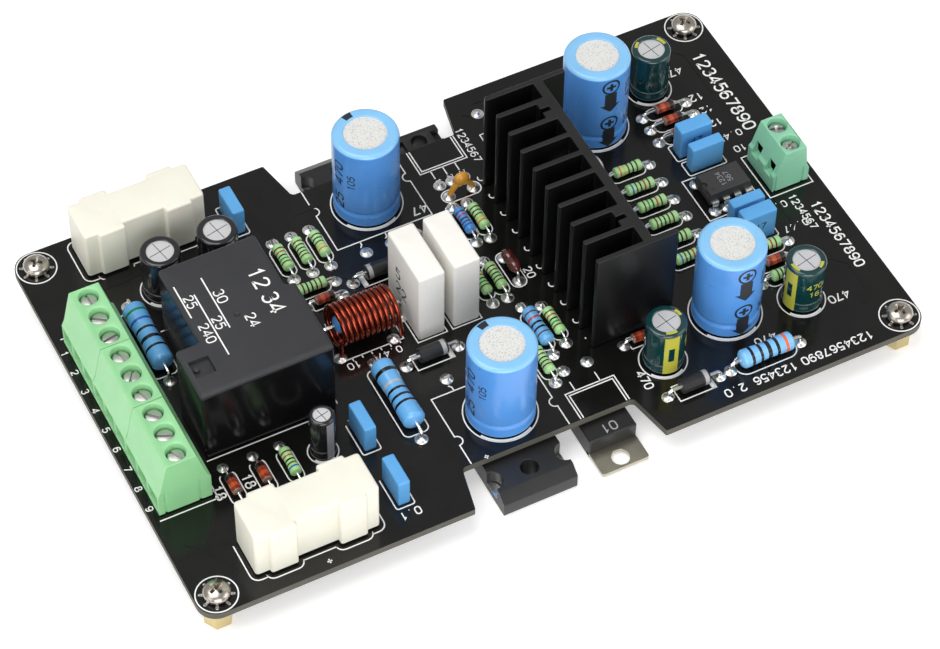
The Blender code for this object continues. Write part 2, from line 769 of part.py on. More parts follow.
def add_contacts(shape):
    """The fixed contact of each way: a pin out of the board and a tongue into the cage."""
    for kind, _, y in terminal_ways():
        _, inward, _, _, _, _, _ = block_sizes(kind)
        x = screw_x(kind)
        half_length, _, _, foot = cage_sizes(kind)
        under = foot + CAGE_WALL + CAGE_TRAVEL + CAGE_CLEARANCE
        back = x + inward * (half_length + CAGE_CLEARANCE)
        profile = [
            (x - inward * half_length / 2, under),
            (x - inward * half_length / 2, under + CONTACT_THICKNESS),
            (back + inward * CONTACT_THICKNESS, under + CONTACT_THICKNESS),
            (back + inward * CONTACT_THICKNESS, BOARD_TOP - BOARD_THICKNESS / 2),
            (back, BOARD_TOP - BOARD_THICKNESS / 2),
            (back, under),
        ]
        add_side_prism(shape, profile, y - CONTACT_WIDTH / 2, y + CONTACT_WIDTH / 2)


def build_board(material):
    """The printed board with the small soldered parts that share its node."""
    shape = bmesh.new()
    holes = [circle_points(place, HOLE_DIAMETER, 12)[::-1] for place in corner_places()]
    holes += [circle_points(place, LEAD_HOLE_DIAMETER, 6)[::-1] for place in lead_hole_places()]
    add_plate(shape, board_outline(), BOARD_UNDERSIDE, BOARD_TOP, holes)
    board = make_object("circuit_board", shape, material)
    parts = bmesh.new()
    add_resistors(parts)
    add_diodes(parts)
    for place in FILM_ALONG_Y:
        add_film_capacitor(parts, place, FILM_WIDTH, FILM_LENGTH, FILM_HEIGHT)
    for place in FILM_ALONG_X:
        add_film_capacitor(parts, place, FILM_LENGTH, FILM_WIDTH, FILM_HEIGHT)
    for place in WIDE_FILM_ALONG_X:
        add_film_capacitor(parts, place, FILM_LENGTH, WIDE_FILM_WIDTH, TALL_FILM_HEIGHT)
    add_small_cans(parts)
    add_cement_resistors(parts)
    add_dipped_capacitors(parts)
    add_contacts(parts)
    combine(board, make_helper("soldered_parts", parts), "UNION")
    smooth_round(board)


def build_standoffs(material):
    """Four hexagonal brass spacers with a clear bore."""
    for index, place in enumerate(corner_places(), start=1):
        shape = bmesh.new()
        hexagon = circle_points(place, STANDOFF_FLATS / math.cos(math.pi / 6), 6)
        bore = circle_points(place, STANDOFF_BORE, 12)[::-1]
        add_plate(shape, hexagon, 0.0, STANDOFF_HEIGHT - SEAT, [bore])
        make_object(f"standoff_{index}", shape, material)


def build_board_screws(material):
    """Four pan-head screws down through the board into the standoffs."""
    head = SCREW_HEAD_DIAMETER / 2
    shank = SCREW_SHANK_DIAMETER / 2
    tip = ON_BOARD - SCREW_LENGTH
    profile = [
        (0, tip),
        (shank, tip),
        (shank, ON_BOARD),
        (head, ON_BOARD),
        (head, ON_BOARD + SCREW_HEAD_HEIGHT * PAN_RIM_HEIGHT_SHARE),
        (head * PAN_CROWN_WIDTH_SHARE, ON_BOARD + SCREW_HEAD_HEIGHT * PAN_CROWN_HEIGHT_SHARE),
        (0, ON_BOARD + SCREW_HEAD_HEIGHT),
    ]
    for index, place in enumerate(corner_places(), start=1):
        shape = bmesh.new()
        add_turned(shape, profile, 10, place)
        smooth_round(make_object(f"board_screw_{index}", shape, material))


def block_profile(kind):
    """End profile of a terminal block: a lower body, shoulders and a tapered upper part."""
    face, inward, depth, top_inset, top_depth, shoulder, height = block_sizes(kind)
    top = BOARD_TOP + height
    step = BOARD_TOP + shoulder
    return [
        (face, ON_BOARD),
        (face, step - BLOCK_LIP_DROP),
        (face + inward * SHOULDER_STEP, step),
        (face + inward * top_inset, top),
        (face + inward * (top_inset + top_depth), top),
        (face + inward * (depth - SHOULDER_STEP), step),
        (face + inward * depth, step - SHOULDER_STEP),
        (face + inward * depth, ON_BOARD),
    ]


def build_block(name, kind, centres, material):
    """One moulded terminal housing with a pocket, a screw bore and a wire mouth for each way."""
    face, inward, _, _, _, shoulder, height = block_sizes(kind)
    x = screw_x(kind)
    half_length, _, _, _ = cage_sizes(kind)
    half_pocket = POCKET_WIDTH / 2
    half_mouth = half_pocket - BLOCK_MOUTH_STEP
    sill = ON_BOARD + BLOCK_MOUTH_SILL
    lintel = BOARD_TOP + shoulder - BLOCK_MOUTH_LINTEL
    roof = BOARD_TOP + height - BLOCK_ROOF
    y0 = centres[0] - TERMINAL_PITCH / 2 + BLOCK_END_GAP
    y1 = centres[-1] + TERMINAL_PITCH / 2 - BLOCK_END_GAP
    shape = bmesh.new()
    add_side_prism(shape, block_profile(kind), y0, y1)
    block = make_object(name, shape, material)
    pockets = bmesh.new()
    bores = bmesh.new()
    mouths = bmesh.new()
    front = x - inward * (half_length + CAGE_CLEARANCE)
    back = x + inward * (half_length + 2 * CAGE_CLEARANCE + CONTACT_THICKNESS)
    near, far = sorted((front, back))
    low, high = sorted((face - inward * CUT_MARGIN, front + inward * CAGE_CLEARANCE))
    for y in centres:
        add_box(pockets, near, far, y - half_pocket, y + half_pocket, ON_BOARD - CUT_MARGIN, roof)
        bore = circle_points((x, y), TERMINAL_BORE, 16)
        add_plate(bores, bore, roof - CAGE_CLEARANCE, BOARD_TOP + height + CUT_MARGIN)
        add_box(mouths, low, high, y - half_mouth, y + half_mouth, sill, lintel)
    combine(block, make_helper(f"{name}_pockets", pockets), "DIFFERENCE")
    combine(block, make_helper(f"{name}_bores", bores), "DIFFERENCE")
    combine(block, make_helper(f"{name}_mouths", mouths), "DIFFERENCE")
    return block


def add_input_windows(block, centres):
    """Cut a shallow square recess for each way into the inner face of the input housing."""
    face, inward, depth, _, _, _, _ = block_sizes("input")
    inner = face + inward * depth
    x0, x1 = sorted((inner + inward * CUT_MARGIN, inner - inward * INPUT_WINDOW_DEPTH))
    sill = ON_BOARD + INPUT_WINDOW_SILL
    half = INPUT_WINDOW_SIZE / 2
    windows = bmesh.new()
    for y in centres:
        add_box(windows, x0, x1, y - half, y + half, sill, sill + INPUT_WINDOW_SIZE)
    combine(block, make_helper("input_windows", windows), "DIFFERENCE")


def build_blocks(material_power, material_input):
    """Three interlocked power housings and the input housing."""
    power = [y for kind, _, y in terminal_ways() if kind == "power"]
    for index in range(POWER_MODULES):
        centres = power[index * WAYS_PER_MODULE : (index + 1) * WAYS_PER_MODULE]
        build_block(f"power_terminal_{index + 1}", "power", centres, material_power)
    centres = [y for kind, _, y in terminal_ways() if kind == "input"]
    add_input_windows(build_block("input_terminal", "input", centres, material_input), centres)


def build_terminal_screw(kind, number, y, material):
    """A captive slotted screw whose tip clears the contact tongue."""
    x = screw_x(kind)
    _, _, _, foot = cage_sizes(kind)
    height = block_sizes(kind)[-1]
    head = TERMINAL_HEAD_DIAMETER / 2
    shank = TERMINAL_SHANK_DIAMETER / 2
    top = BOARD_TOP + height - TERMINAL_HEAD_DROP
    under_head = top - TERMINAL_HEAD_HEIGHT
    tip = foot + CAGE_WALL + CAGE_TRAVEL + CAGE_CLEARANCE + CONTACT_THICKNESS + SEAT
    profile = [(0, tip), (shank, tip), (shank, under_head), (head, under_head), (head, top), (0, top)]
    shape = bmesh.new()
    add_turned(shape, profile, 14, (x, y))
    screw = make_object(f"{kind}_screw_{number}", shape, material, (x, y, under_head))
    slot = bmesh.new()
    reach = head + CUT_MARGIN
    half = TERMINAL_SLOT_WIDTH / 2
    add_box(slot, x - reach, x + reach, y - half, y + half, top - TERMINAL_SLOT_DEPTH, top + CUT_MARGIN)
    combine(screw, make_helper(f"{kind}_slot_{number}", slot), "DIFFERENCE")


def build_terminal_cage(kind, number, y, material):
    """A cage that is open along X and rises round the contact tongue, with a hole for the screw."""
    x = screw_x(kind)
    half_length, half_width, tall, foot = cage_sizes(kind)
    inner = half_width - CAGE_WALL
    section = rectangle_points(-half_width, half_width, foot, foot + tall)
    window = rectangle_points(-inner, inner, foot + CAGE_WALL, foot + tall - CAGE_WALL)
    shape = bmesh.new()
    add_plate(shape, section, -half_length, half_length, [window[::-1]])
    stand_up = Matrix(((0, 0, 1, x), (1, 0, 0, y), (0, 1, 0, 0), (0, 0, 0, 1)))
    bmesh.ops.transform(shape, matrix=stand_up, verts=shape.verts[:])
    cage = make_object(f"{kind}_cage_{number}", shape, material, (x, y, foot))
    thread = bmesh.new()
    clearance = circle_points((x, y), TERMINAL_SHANK_DIAMETER + THREAD_CLEARANCE, 8)
    add_plate(thread, clearance, foot + tall - 2 * CAGE_WALL, foot + tall + CUT_MARGIN)
    combine(cage, make_helper(f"{kind}_thread_{number}", thread), "DIFFERENCE")


def build_terminal_metal(screw_material, cage_material):
    """The screw and the cage of each way, each with its origin on the screw's axis."""
    for kind, number, y in terminal_ways():
        build_terminal_screw(kind, number, y, screw_material)
        build_terminal_cage(kind, number, y, cage_material)


def build_relay(material):
    """Sealed relay case with stepped sides, a bevelled top and a square pocket in the top."""
    cx, cy = RELAY_CENTRE
    x0, x1 = cx - RELAY_LENGTH / 2, cx + RELAY_LENGTH / 2
    y0, y1 = cy - RELAY_WIDTH / 2, cy + RELAY_WIDTH / 2
    step_left = x0 + RELAY_STEP_LEFT
    step_right = x1 - RELAY_STEP_RIGHT
    outline = [
        (x0, y0),
        (x1, y0),
        (x1, cy + RELAY_STEP_RIGHT_Y),
        (step_right, cy + RELAY_STEP_RIGHT_Y),
        (step_right, y1),
        (step_left, y1),
        (step_left, cy + RELAY_STEP_LEFT_Y),
        (x0, cy + RELAY_STEP_LEFT_Y),
    ]
    top = BOARD_TOP + RELAY_HEIGHT
    shape = bmesh.new()
    add_plate(shape, outline, ON_BOARD, top)
    bmesh.ops.recalc_face_normals(shape, faces=shape.faces[:])
    rim = [
        edge
        for edge in shape.edges
        if all(abs(vert.co.z - top) < 1e-6 for vert in edge.verts)
    ]
    bmesh.ops.bevel(shape, geom=rim, offset=RELAY_EDGE_BEVEL, segments=2, affect="EDGES", profile=0.5)
    relay = make_object("relay", shape, material)
    pocket = bmesh.new()
    px = x0 + RELAY_EDGE_BEVEL + RELAY_POCKET_SIZE / 2
    py = y0 + RELAY_POCKET_SIZE + RELAY_POCKET_SIZE / 2
    half = RELAY_POCKET_SIZE / 2
    add_box(pocket, px - half, px + half, py - half, py + half, top - RELAY_POCKET_DEPTH, top + CUT_MARGIN)
    dimple = circle_points((cx + RELAY_DIMPLE_PLACE[0], cy + RELAY_DIMPLE_PLACE[1]), RELAY_DIMPLE_DIAMETER, 12)
    add_plate(pocket, dimple, top - RELAY_DIMPLE_DEPTH, top + CUT_MARGIN)
    combine(relay, make_helper("relay_pocket", pocket), "DIFFERENCE")
    stub = bmesh.new()
    floor = top - RELAY_POCKET_DEPTH
    outline = circle_points((x0 + RELAY_STUB_FROM_SIDE, py), RELAY_STUB_DIAMETER, 12)
    add_plate(stub, outline, floor - RELAY_POCKET_DEPTH / 2, top - RELAY_STUB_DROP)
    combine(relay, make_helper("relay_stub", stub), "UNION")


def cover_outline(grow=0.0):
    """Plan of a fuse cover: a waisted bar with a bump over each clip."""
    end = COVER_LENGTH / 2 + grow
    half_end = COVER_END_WIDTH / 2 + grow
    half_bump = COVER_BUMP_WIDTH / 2 + grow
    half_waist = COVER_WAIST / 2 + grow
    quarter = [
        (end, half_end),
        (COVER_BUMP_END + grow, half_end),
        (COVER_BUMP_END + grow, half_bump),
        (COVER_BUMP_START - grow, half_bump),
        (COVER_BUMP_START - grow, half_waist),
    ]
    back_side = quarter + [(-x, y) for x, y in quarter[::-1]]
    return back_side + [(-x, -y) for x, y in back_side]


def build_fuses(cover_material, base_material, fuse_material):
    """Both fuse holders: base with spring clips, cartridge and pull-off cover."""
    for index, (cx, cy) in enumerate(FUSE_CENTRES, start=1):
        place = Matrix.Translation((cx, cy, 0.0))
        bottom = ON_BOARD
        top = BOARD_TOP + COVER_HEIGHT
        shape = bmesh.new()
        add_plate(shape, cover_outline(), bottom + COVER_LIFT, top)
        bmesh.ops.transform(shape, matrix=place, verts=shape.verts[:])
        cover = make_object(f"fuse_cover_{index}", shape, cover_material, (cx, cy, bottom))
        inside = bmesh.new()
        add_plate(inside, cover_outline(-COVER_WALL), bottom - CUT_MARGIN, top - COVER_WALL)
        bmesh.ops.transform(inside, matrix=place, verts=inside.verts[:])
        combine(cover, make_helper(f"fuse_cover_inside_{index}", inside), "DIFFERENCE")
        build_fuse_base(index, cx, cy, base_material)
        shape = bmesh.new()
        cap = FUSE_DIAMETER / 2
        glass = cap - FUSE_CAP_WALL
        half = FUSE_LENGTH / 2
        profile = [
            (0, -half),
            (cap, -half),
            (cap, -half + FUSE_CAP_LENGTH),
            (glass, -half + FUSE_CAP_LENGTH),
            (glass, half - FUSE_CAP_LENGTH),
            (cap, half - FUSE_CAP_LENGTH),
            (cap, half),
            (0, half),
        ]
        add_turned(shape, profile, 12)
        lie_down = place @ Matrix.Translation((0.0, 0.0, BOARD_TOP + FUSE_HEIGHT))
        lie_down = lie_down @ Matrix.Rotation(math.radians(90), 4, "Y")
        bmesh.ops.transform(shape, matrix=lie_down, verts=shape.verts[:])
        smooth_round(make_object(f"fuse_{index}", shape, fuse_material))


def clip_section():
    """Section across a spring clip in Y and Z: two arms that cradle the fuse cap."""
    centre = BOARD_TOP + FUSE_HEIGHT
    inner = FUSE_DIAMETER / 2 + SEAT
    outer = inner + CLIP_WALL
    foot = ON_BOARD + FUSE_BASE_HEIGHT / 2
    inside = []
    outside = []
    for degrees in range(-90, CLIP_LIP_DEGREES + 1, CLIP_STEP_DEGREES):
        angle = math.radians(degrees)
        inside.append((inner * math.cos(angle), centre + inner * math.sin(angle)))
        outside.append((outer * math.cos(angle), centre + outer * math.sin(angle)))
    right = [(CLIP_WALL, foot), (CLIP_WALL, outside[0][1])] + outside[1:] + inside[::-1]
    left = [(-y, z) for y, z in right[::-1]]
    return right[:-1] + [inside[0]] + left[1:]


def build_fuse_base(index, cx, cy, material):
    """Moulded base plate inside the cover, joined with its two spring clips."""
    half_x = COVER_BUMP_END - COVER_WALL - SEAT
    half_y = COVER_WAIST / 2 - COVER_WALL - SEAT
    shape = bmesh.new()
    add_box(shape, cx - half_x, cx + half_x, cy - half_y, cy + half_y, ON_BOARD, ON_BOARD + FUSE_BASE_HEIGHT / 2)
    base = make_object(f"fuse_base_{index}", shape, material)
    clips = bmesh.new()
    section = clip_section()
    for side in (-1, 1):
        x = cx + side * (FUSE_LENGTH / 2 - FUSE_CAP_LENGTH / 2)
        add_cross_prism(clips, section, x - CLIP_LENGTH / 2, x + CLIP_LENGTH / 2, cy)
    combine(base, make_helper(f"fuse_clips_{index}", clips), "UNION")


def heatsink_outline():
    """Plan of the heatsink: a spine with fins towards the terminals and two end wings."""
    spine = HEATSINK_SPINE_X
    back = spine + HEATSINK_SPINE_THICKNESS
    half_fin = HEATSINK_FIN_THICKNESS / 2
    tip = spine - HEATSINK_FIN_LENGTH
    wing = back + HEATSINK_WING_LENGTH
    first = -(HEATSINK_FINS - 1) / 2
    places = [(first + index) * HEATSINK_FIN_PITCH for index in range(HEATSINK_FINS)]
    points = [(wing, places[0] - half_fin)]
    for index, y in enumerate(places):
        points += [(tip, y - half_fin), (tip, y + half_fin)]
        if index == HEATSINK_FINS - 1:
            break
        after = places[index + 1]
        middle = (y + after) / 2
        if index in HEATSINK_BOSS_GAPS:
            boss = spine - HEATSINK_BOSS_THICKNESS
            half_slot = HEATSINK_SLOT / 2
            points += [
                (boss, y + half_fin),
                (boss, middle - half_slot),
                (spine, middle - half_slot),
                (spine, middle + half_slot),
                (boss, middle + half_slot),
                (boss, after - half_fin),
            ]
        else:
            points += [(spine, y + half_fin), (spine, after - half_fin)]
    points += [(wing, places[-1] + half_fin), (wing, places[-1] - half_fin)]
    points += [(back, places[-1] - half_fin), (back, places[0] + half_fin), (wing, places[0] + half_fin)]
    return points


def add_chip_hole(shape, x0, x1):
    """Add a cutter for the chip's screw hole, a bar along X from x0 to x1."""
    circle = circle_points((CHIP_CENTRE_Y, BOARD_TOP + CHIP_SCREW_HEIGHT), CHIP_HOLE_DIAMETER, 12)
    add_cross_prism(shape, circle, x0, x1)


def build_heatsink(material):
    """Extruded comb heatsink that stands on the board, drilled for the chip's screw."""
    shape = bmesh.new()
    add_plate(shape, heatsink_outline(), ON_BOARD, BOARD_TOP + HEATSINK_HEIGHT)
    heatsink = make_object("heatsink", shape, material)
    hole = bmesh.new()
    back = HEATSINK_SPINE_X + HEATSINK_SPINE_THICKNESS
    add_chip_hole(hole, HEATSINK_SPINE_X - CUT_MARGIN, back + CUT_MARGIN)
    combine(heatsink, make_helper("heatsink_hole", hole), "DIFFERENCE")


def build_chip(material, screw_material):
    """Driver chip clamped to the back of the spine, with two staggered rows of pins."""
    face = HEATSINK_SPINE_X + HEATSINK_SPINE_THICKNESS + SEAT
    low = BOARD_TOP + CHIP_LIFT
    body_top = low + CHIP_BODY_HEIGHT
    tab_top = low + CHIP_TAB_HEIGHT
    y0 = CHIP_CENTRE_Y - CHIP_WIDTH / 2
    y1 = CHIP_CENTRE_Y + CHIP_WIDTH / 2
    profile = [
        (face, low),
        (face + CHIP_THICKNESS, low),
        (face + CHIP_THICKNESS, body_top),
        (face + CHIP_TAB_THICKNESS, body_top),
        (face + CHIP_TAB_THICKNESS, tab_top),
        (face, tab_top),
    ]
    shape = bmesh.new()
    add_side_prism(shape, profile, y0, y1)
    chip = make_object("driver_chip", shape, material)
    pins = bmesh.new()
    pitch = CHIP_WIDTH / (CHIP_PINS + 1)
    half_x = CHIP_PIN_THICKNESS / 2
    half_y = CHIP_PIN_WIDTH / 2
    for index in range(CHIP_PINS):
        y = y0 + pitch * (index + 1)
        x = face + CHIP_THICKNESS * CHIP_PIN_ROWS[index % 2]
        add_box(pins, x - half_x, x + half_x, y - half_y, y + half_y, ON_BOARD, low + CHIP_PIN_THICKNESS)
    combine(chip, make_helper("chip_pins", pins), "UNION")
    hole = bmesh.new()
    add_chip_hole(hole, face - CUT_MARGIN, face + CHIP_TAB_THICKNESS + CUT_MARGIN)
    combine(chip, make_helper("chip_hole", hole), "DIFFERENCE")
    build_chip_screw(face + CHIP_TAB_THICKNESS + SEAT, screw_material)


def build_chip_screw(seat, material):
    """Pan-head screw along X whose head bears on the chip's tab."""
    head = CHIP_SCREW_HEAD / 2
    shank = CHIP_SCREW_DIAMETER / 2
    profile = [
        (0, -CHIP_SCREW_LENGTH),
        (shank, -CHIP_SCREW_LENGTH),
        (shank, 0),
        (head, 0),
        (head, CHIP_HEAD_HEIGHT * PAN_RIM_HEIGHT_SHARE),
        (head * PAN_CROWN_WIDTH_SHARE, CHIP_HEAD_HEIGHT * PAN_CROWN_HEIGHT_SHARE),
        (0, CHIP_HEAD_HEIGHT),
    ]
    shape = bmesh.new()
    add_turned(shape, profile, 12)
    place = Matrix.Translation((seat, CHIP_CENTRE_Y, BOARD_TOP + CHIP_SCREW_HEIGHT))
    lie_down = place @ Matrix.Rotation(math.radians(90), 4, "Y")
    bmesh.ops.transform(shape, matrix=lie_down, verts=shape.verts[:])
    smooth_round(make_object("chip_screw", shape, material))


def build_cans(blue, green):
    """The large blue and the green electrolytic capacitors."""
    for index, place in enumerate(BLUE_CAN_PLACES, start=1):
        shape = bmesh.new()
        profile = can_profile(BLUE_CAN_DIAMETER, BLUE_CAN_HEIGHT - SEAT, ON_BOARD)
        add_turned(shape, profile, 18, place)
        smooth_round(make_object(f"blue_capacitor_{index}", shape, blue))
    for index, place in enumerate(GREEN_CAN_PLACES, start=1):
        shape = bmesh.new()
        profile = can_profile(GREEN_CAN_DIAMETER, GREEN_CAN_HEIGHT - SEAT, ON_BOARD)
        add_turned(shape, profile, 14, place)
        smooth_round(make_object(f"green_capacitor_{index}", shape, green))


def build_coil(material):
    """Air-cored output coil of round wire with a leg at each end."""
    cx, cy = COIL_CENTRE
    height = BOARD_TOP + COIL_AXIS_HEIGHT
    radius = (COIL_OUTER_DIAMETER - COIL_WIRE) / 2
    steps = COIL_TURNS * COIL_STEPS_PER_TURN
    start_x = cx - COIL_TURNS * COIL_TURN_PITCH / 2
    start_angle = math.radians(180)
    points = []
    for step in range(steps + 1):
        angle = start_angle + 2 * math.pi * step / COIL_STEPS_PER_TURN
        x = start_x + COIL_TURN_PITCH * step / COIL_STEPS_PER_TURN
        points.append((x, cy + radius * math.cos(angle), height + radius * math.sin(angle)))
    first = points[0]
    last = points[-1]
    leg_end = ON_BOARD + COIL_WIRE / 2
    points.insert(0, (first[0], first[1], leg_end))
    tail = (last[0] + COIL_TAIL_SHIFT[0], last[1] + COIL_TAIL_SHIFT[1], leg_end)
    points[-1] = (last[0] + COIL_EXIT_SHIFT, last[1], last[2])
    points.append(tail)
    shape = bmesh.new()
    add_swept(shape, [(point, COIL_WIRE / 2) for point in points], 5, (1.0, 0.0, 0.0))
    smooth_round(make_object("output_coil", shape, material), 80.0)


def build_trimmer(material, screw_material):
    """Multi-turn trimmer with its adjusting screw in a blind bore."""
    cx, cy = TRIMMER_CENTRE
    top = BOARD_TOP + TRIMMER_HEIGHT + SEAT
    half_x = TRIMMER_LENGTH / 2
    half_y = TRIMMER_WIDTH / 2
    shape = bmesh.new()
    add_box(shape, cx - half_x, cx + half_x, cy - half_y, cy + half_y, ON_BOARD, top)
    body = make_object("trimmer", shape, material)
    sx = cx + TRIMMER_SCREW_OFFSET[0]
    sy = cy + TRIMMER_SCREW_OFFSET[1]
    bore = bmesh.new()
    bore_outline = circle_points((sx, sy), TRIMMER_SCREW_DIAMETER + 2 * TRIMMER_BORE_CLEARANCE, 12)
    add_plate(bore, bore_outline, top - TRIMMER_SCREW_DEPTH - SEAT, top + CUT_MARGIN)
    combine(body, make_helper("trimmer_bore", bore), "DIFFERENCE")
    screw_top = top + TRIMMER_SCREW_PROUD
    shape = bmesh.new()
    outline = circle_points((sx, sy), TRIMMER_SCREW_DIAMETER, 12)
    add_plate(shape, outline, top - TRIMMER_SCREW_DEPTH, screw_top)
    screw = make_object("trimmer_screw", shape, screw_material, (sx, sy, top))
    slot = bmesh.new()
    half = TRIMMER_SLOT_WIDTH / 2
    floor = screw_top - TRIMMER_SLOT_DEPTH
    reach = TRIMMER_SCREW_DIAMETER / 2 + CUT_MARGIN
    add_box(slot, sx - reach, sx + reach, sy - half, sy + half, floor, screw_top + CUT_MARGIN)
    combine(screw, make_helper("trimmer_slot", slot), "DIFFERENCE")


def build_dip(material):
    """Small amplifier chip with four pins a side and a half-round notch in one end."""
    cx, cy = DIP_CENTRE
    low = ON_BOARD + DIP_STAND
    top = low + DIP_BODY_HEIGHT
    middle = (low + top) / 2
    half_belt = DIP_BELT / 2
    tiers = ((DIP_DRAFT, low), (0.0, middle - half_belt), (0.0, middle + half_belt), (DIP_DRAFT, top))
    shape = bmesh.new()
    add_tiers(shape, DIP_CENTRE, DIP_LENGTH, DIP_WIDTH, tiers)
    chip = make_object("input_chip", shape, material)
    legs = bmesh.new()
    for index in range(DIP_PINS_PER_ROW):
        x = cx + (index - (DIP_PINS_PER_ROW - 1) / 2) * DIP_PIN_PITCH
        for side in (-1, 1):
            outer = side * (DIP_ROW_SPACING / 2 + DIP_PIN_THICKNESS / 2)
            inner = side * (DIP_ROW_SPACING / 2 - DIP_PIN_THICKNESS / 2)
            root = side * (DIP_WIDTH / 2 - DIP_PIN_ROOT)
            section = [
                (root, middle - half_belt),
                (inner, middle - half_belt),
                (inner, ON_BOARD),
                (outer, ON_BOARD),
                (outer, middle + half_belt),
                (root, middle + half_belt),
            ]
            add_cross_prism(legs, section, x - DIP_PIN_WIDTH / 2, x + DIP_PIN_WIDTH / 2, cy)
    combine(chip, make_helper("input_chip_legs", legs), "UNION")
    notch = bmesh.new()
    outline = circle_points((cx - DIP_LENGTH / 2, cy), DIP_NOTCH_DIAMETER, 8)
    add_plate(notch, outline, top - DIP_NOTCH_DEPTH, top + CUT_MARGIN)
    combine(chip, make_helper("input_chip_notch", notch), "DIFFERENCE")


def add_hanging_pin(shape, x, body_y, pin_y, side, width, level):
    """Add a lead that runs out of a body under the board and bends up through the board."""
    half = POWER_PIN_THICKNESS / 2
    top = BOARD_TOP + PIN_RISE
    section = [
        (side * body_y, level - half),
        (side * (pin_y - half), level - half),
        (side * (pin_y - half), top),
        (side * (pin_y + half), top),
        (side * (pin_y + half), level + half),
        (side * body_y, level + half),
    ]
    add_cross_prism(shape, section, x - width / 2, x + width / 2)


def build_power_transistors(material):
    """Two large plastic transistors, face up, that lie flat under the notches."""
    low = POWER_BODY_LIFT
    top = low + POWER_BODY_THICKNESS
    half = POWER_BODY_WIDTH / 2
    for index, side in enumerate((-1, 1), start=1):
        inner = POWER_END_Y - POWER_BODY_LENGTH
        outer = POWER_END_Y
        section = [
            (side * inner, low),
            (side * outer, low),
            (side * outer, top - POWER_BEVEL_DROP),
            (side * (outer - POWER_BEVEL_LENGTH), top),
            (side * inner, top),
        ]
        shape = bmesh.new()
        add_cross_prism(shape, section, POWER_CENTRE_X - half, POWER_CENTRE_X + half)
        body = make_object(f"power_transistor_{index}", shape, material)
        cuts = bmesh.new()
        hole = circle_points((POWER_CENTRE_X, side * POWER_HOLE_Y), POWER_HOLE_DIAMETER, 12)
        add_plate(cuts, hole, low - CUT_MARGIN, top + CUT_MARGIN)
        for end in (-1, 1):
            centre = (POWER_CENTRE_X + end * half, side * (POWER_END_Y - POWER_NOTCH_FROM_END))
            notch = circle_points(centre, POWER_NOTCH_DIAMETER, 12)
            add_plate(cuts, notch, low + POWER_NOTCH_FLOOR, top + CUT_MARGIN)
        combine(body, make_helper(f"power_cuts_{index}", cuts), "DIFFERENCE")
        pins = bmesh.new()
        level = low + POWER_BODY_THICKNESS / 2
        for x, y in power_pin_places(side):
            add_hanging_pin(pins, x, inner + PIN_ROOT, abs(y), side, POWER_PIN_WIDTH, level)
        combine(body, make_helper(f"power_pins_{index}", pins), "UNION")


def build_small_transistor(material):
    """Fully moulded driver transistor under the back notch."""
    low = POWER_BODY_LIFT
    top = low + SMALL_BODY_THICKNESS
    x0 = SMALL_CENTRE_X - SMALL_BODY_WIDTH / 2
    x1 = SMALL_CENTRE_X + SMALL_BODY_WIDTH / 2
    inner = SMALL_END_Y - SMALL_BODY_LENGTH
    shape = bmesh.new()
    add_box(shape, x0, x1, inner, SMALL_END_Y, low, top)
    body = make_object("driver_transistor", shape, material)
    cuts = bmesh.new()
    hole = circle_points((SMALL_CENTRE_X, SMALL_HOLE_Y), SMALL_HOLE_DIAMETER, 12)
    add_plate(cuts, hole, low - CUT_MARGIN, top + CUT_MARGIN)
    combine(body, make_helper("driver_transistor_hole", cuts), "DIFFERENCE")
    pins = bmesh.new()
    level = low + SMALL_BODY_THICKNESS / 2
    for x, y in small_pin_places():
        add_hanging_pin(pins, x, inner + PIN_ROOT, y, 1, SMALL_PIN_WIDTH, level)
    combine(body, make_helper("driver_transistor_pins", pins), "UNION")


def build_thermal_switch(material):
    """Thermal switch under the front notch: a moulded body on a drilled metal tab."""
    low = POWER_BODY_LIFT
    top = low + POWER_BODY_THICKNESS
    x0 = SMALL_CENTRE_X - SMALL_BODY_WIDTH / 2
    x1 = SMALL_CENTRE_X + SMALL_BODY_WIDTH / 2
    inner = SWITCH_BODY_END_Y - SWITCH_BODY_LENGTH
    shape = bmesh.new()
    add_box(shape, x0, x1, -SWITCH_BODY_END_Y, -inner, low, top)
    body = make_object("thermal_switch", shape, material)
    tab = bmesh.new()
    outline = rectangle_points(x0, x1, -SWITCH_TAB_END_Y, -SWITCH_BODY_END_Y + SWITCH_TAB_LAP)
    hole = circle_points((SMALL_CENTRE_X, -SWITCH_HOLE_Y), POWER_HOLE_DIAMETER, 12)[::-1]
    tab_low = low + SWITCH_TAB_LIFT
    add_plate(tab, outline, tab_low, tab_low + SWITCH_TAB_THICKNESS, [hole])
    combine(body, make_helper("thermal_switch_tab", tab), "UNION")
    pins = bmesh.new()
    level = low + POWER_BODY_THICKNESS / 2
    for x, y in switch_pin_places():
        add_hanging_pin(pins, x, inner + PIN_ROOT, abs(y), -1, SMALL_PIN_WIDTH, level)
    combine(body, make_helper("thermal_switch_pins", pins), "UNION")


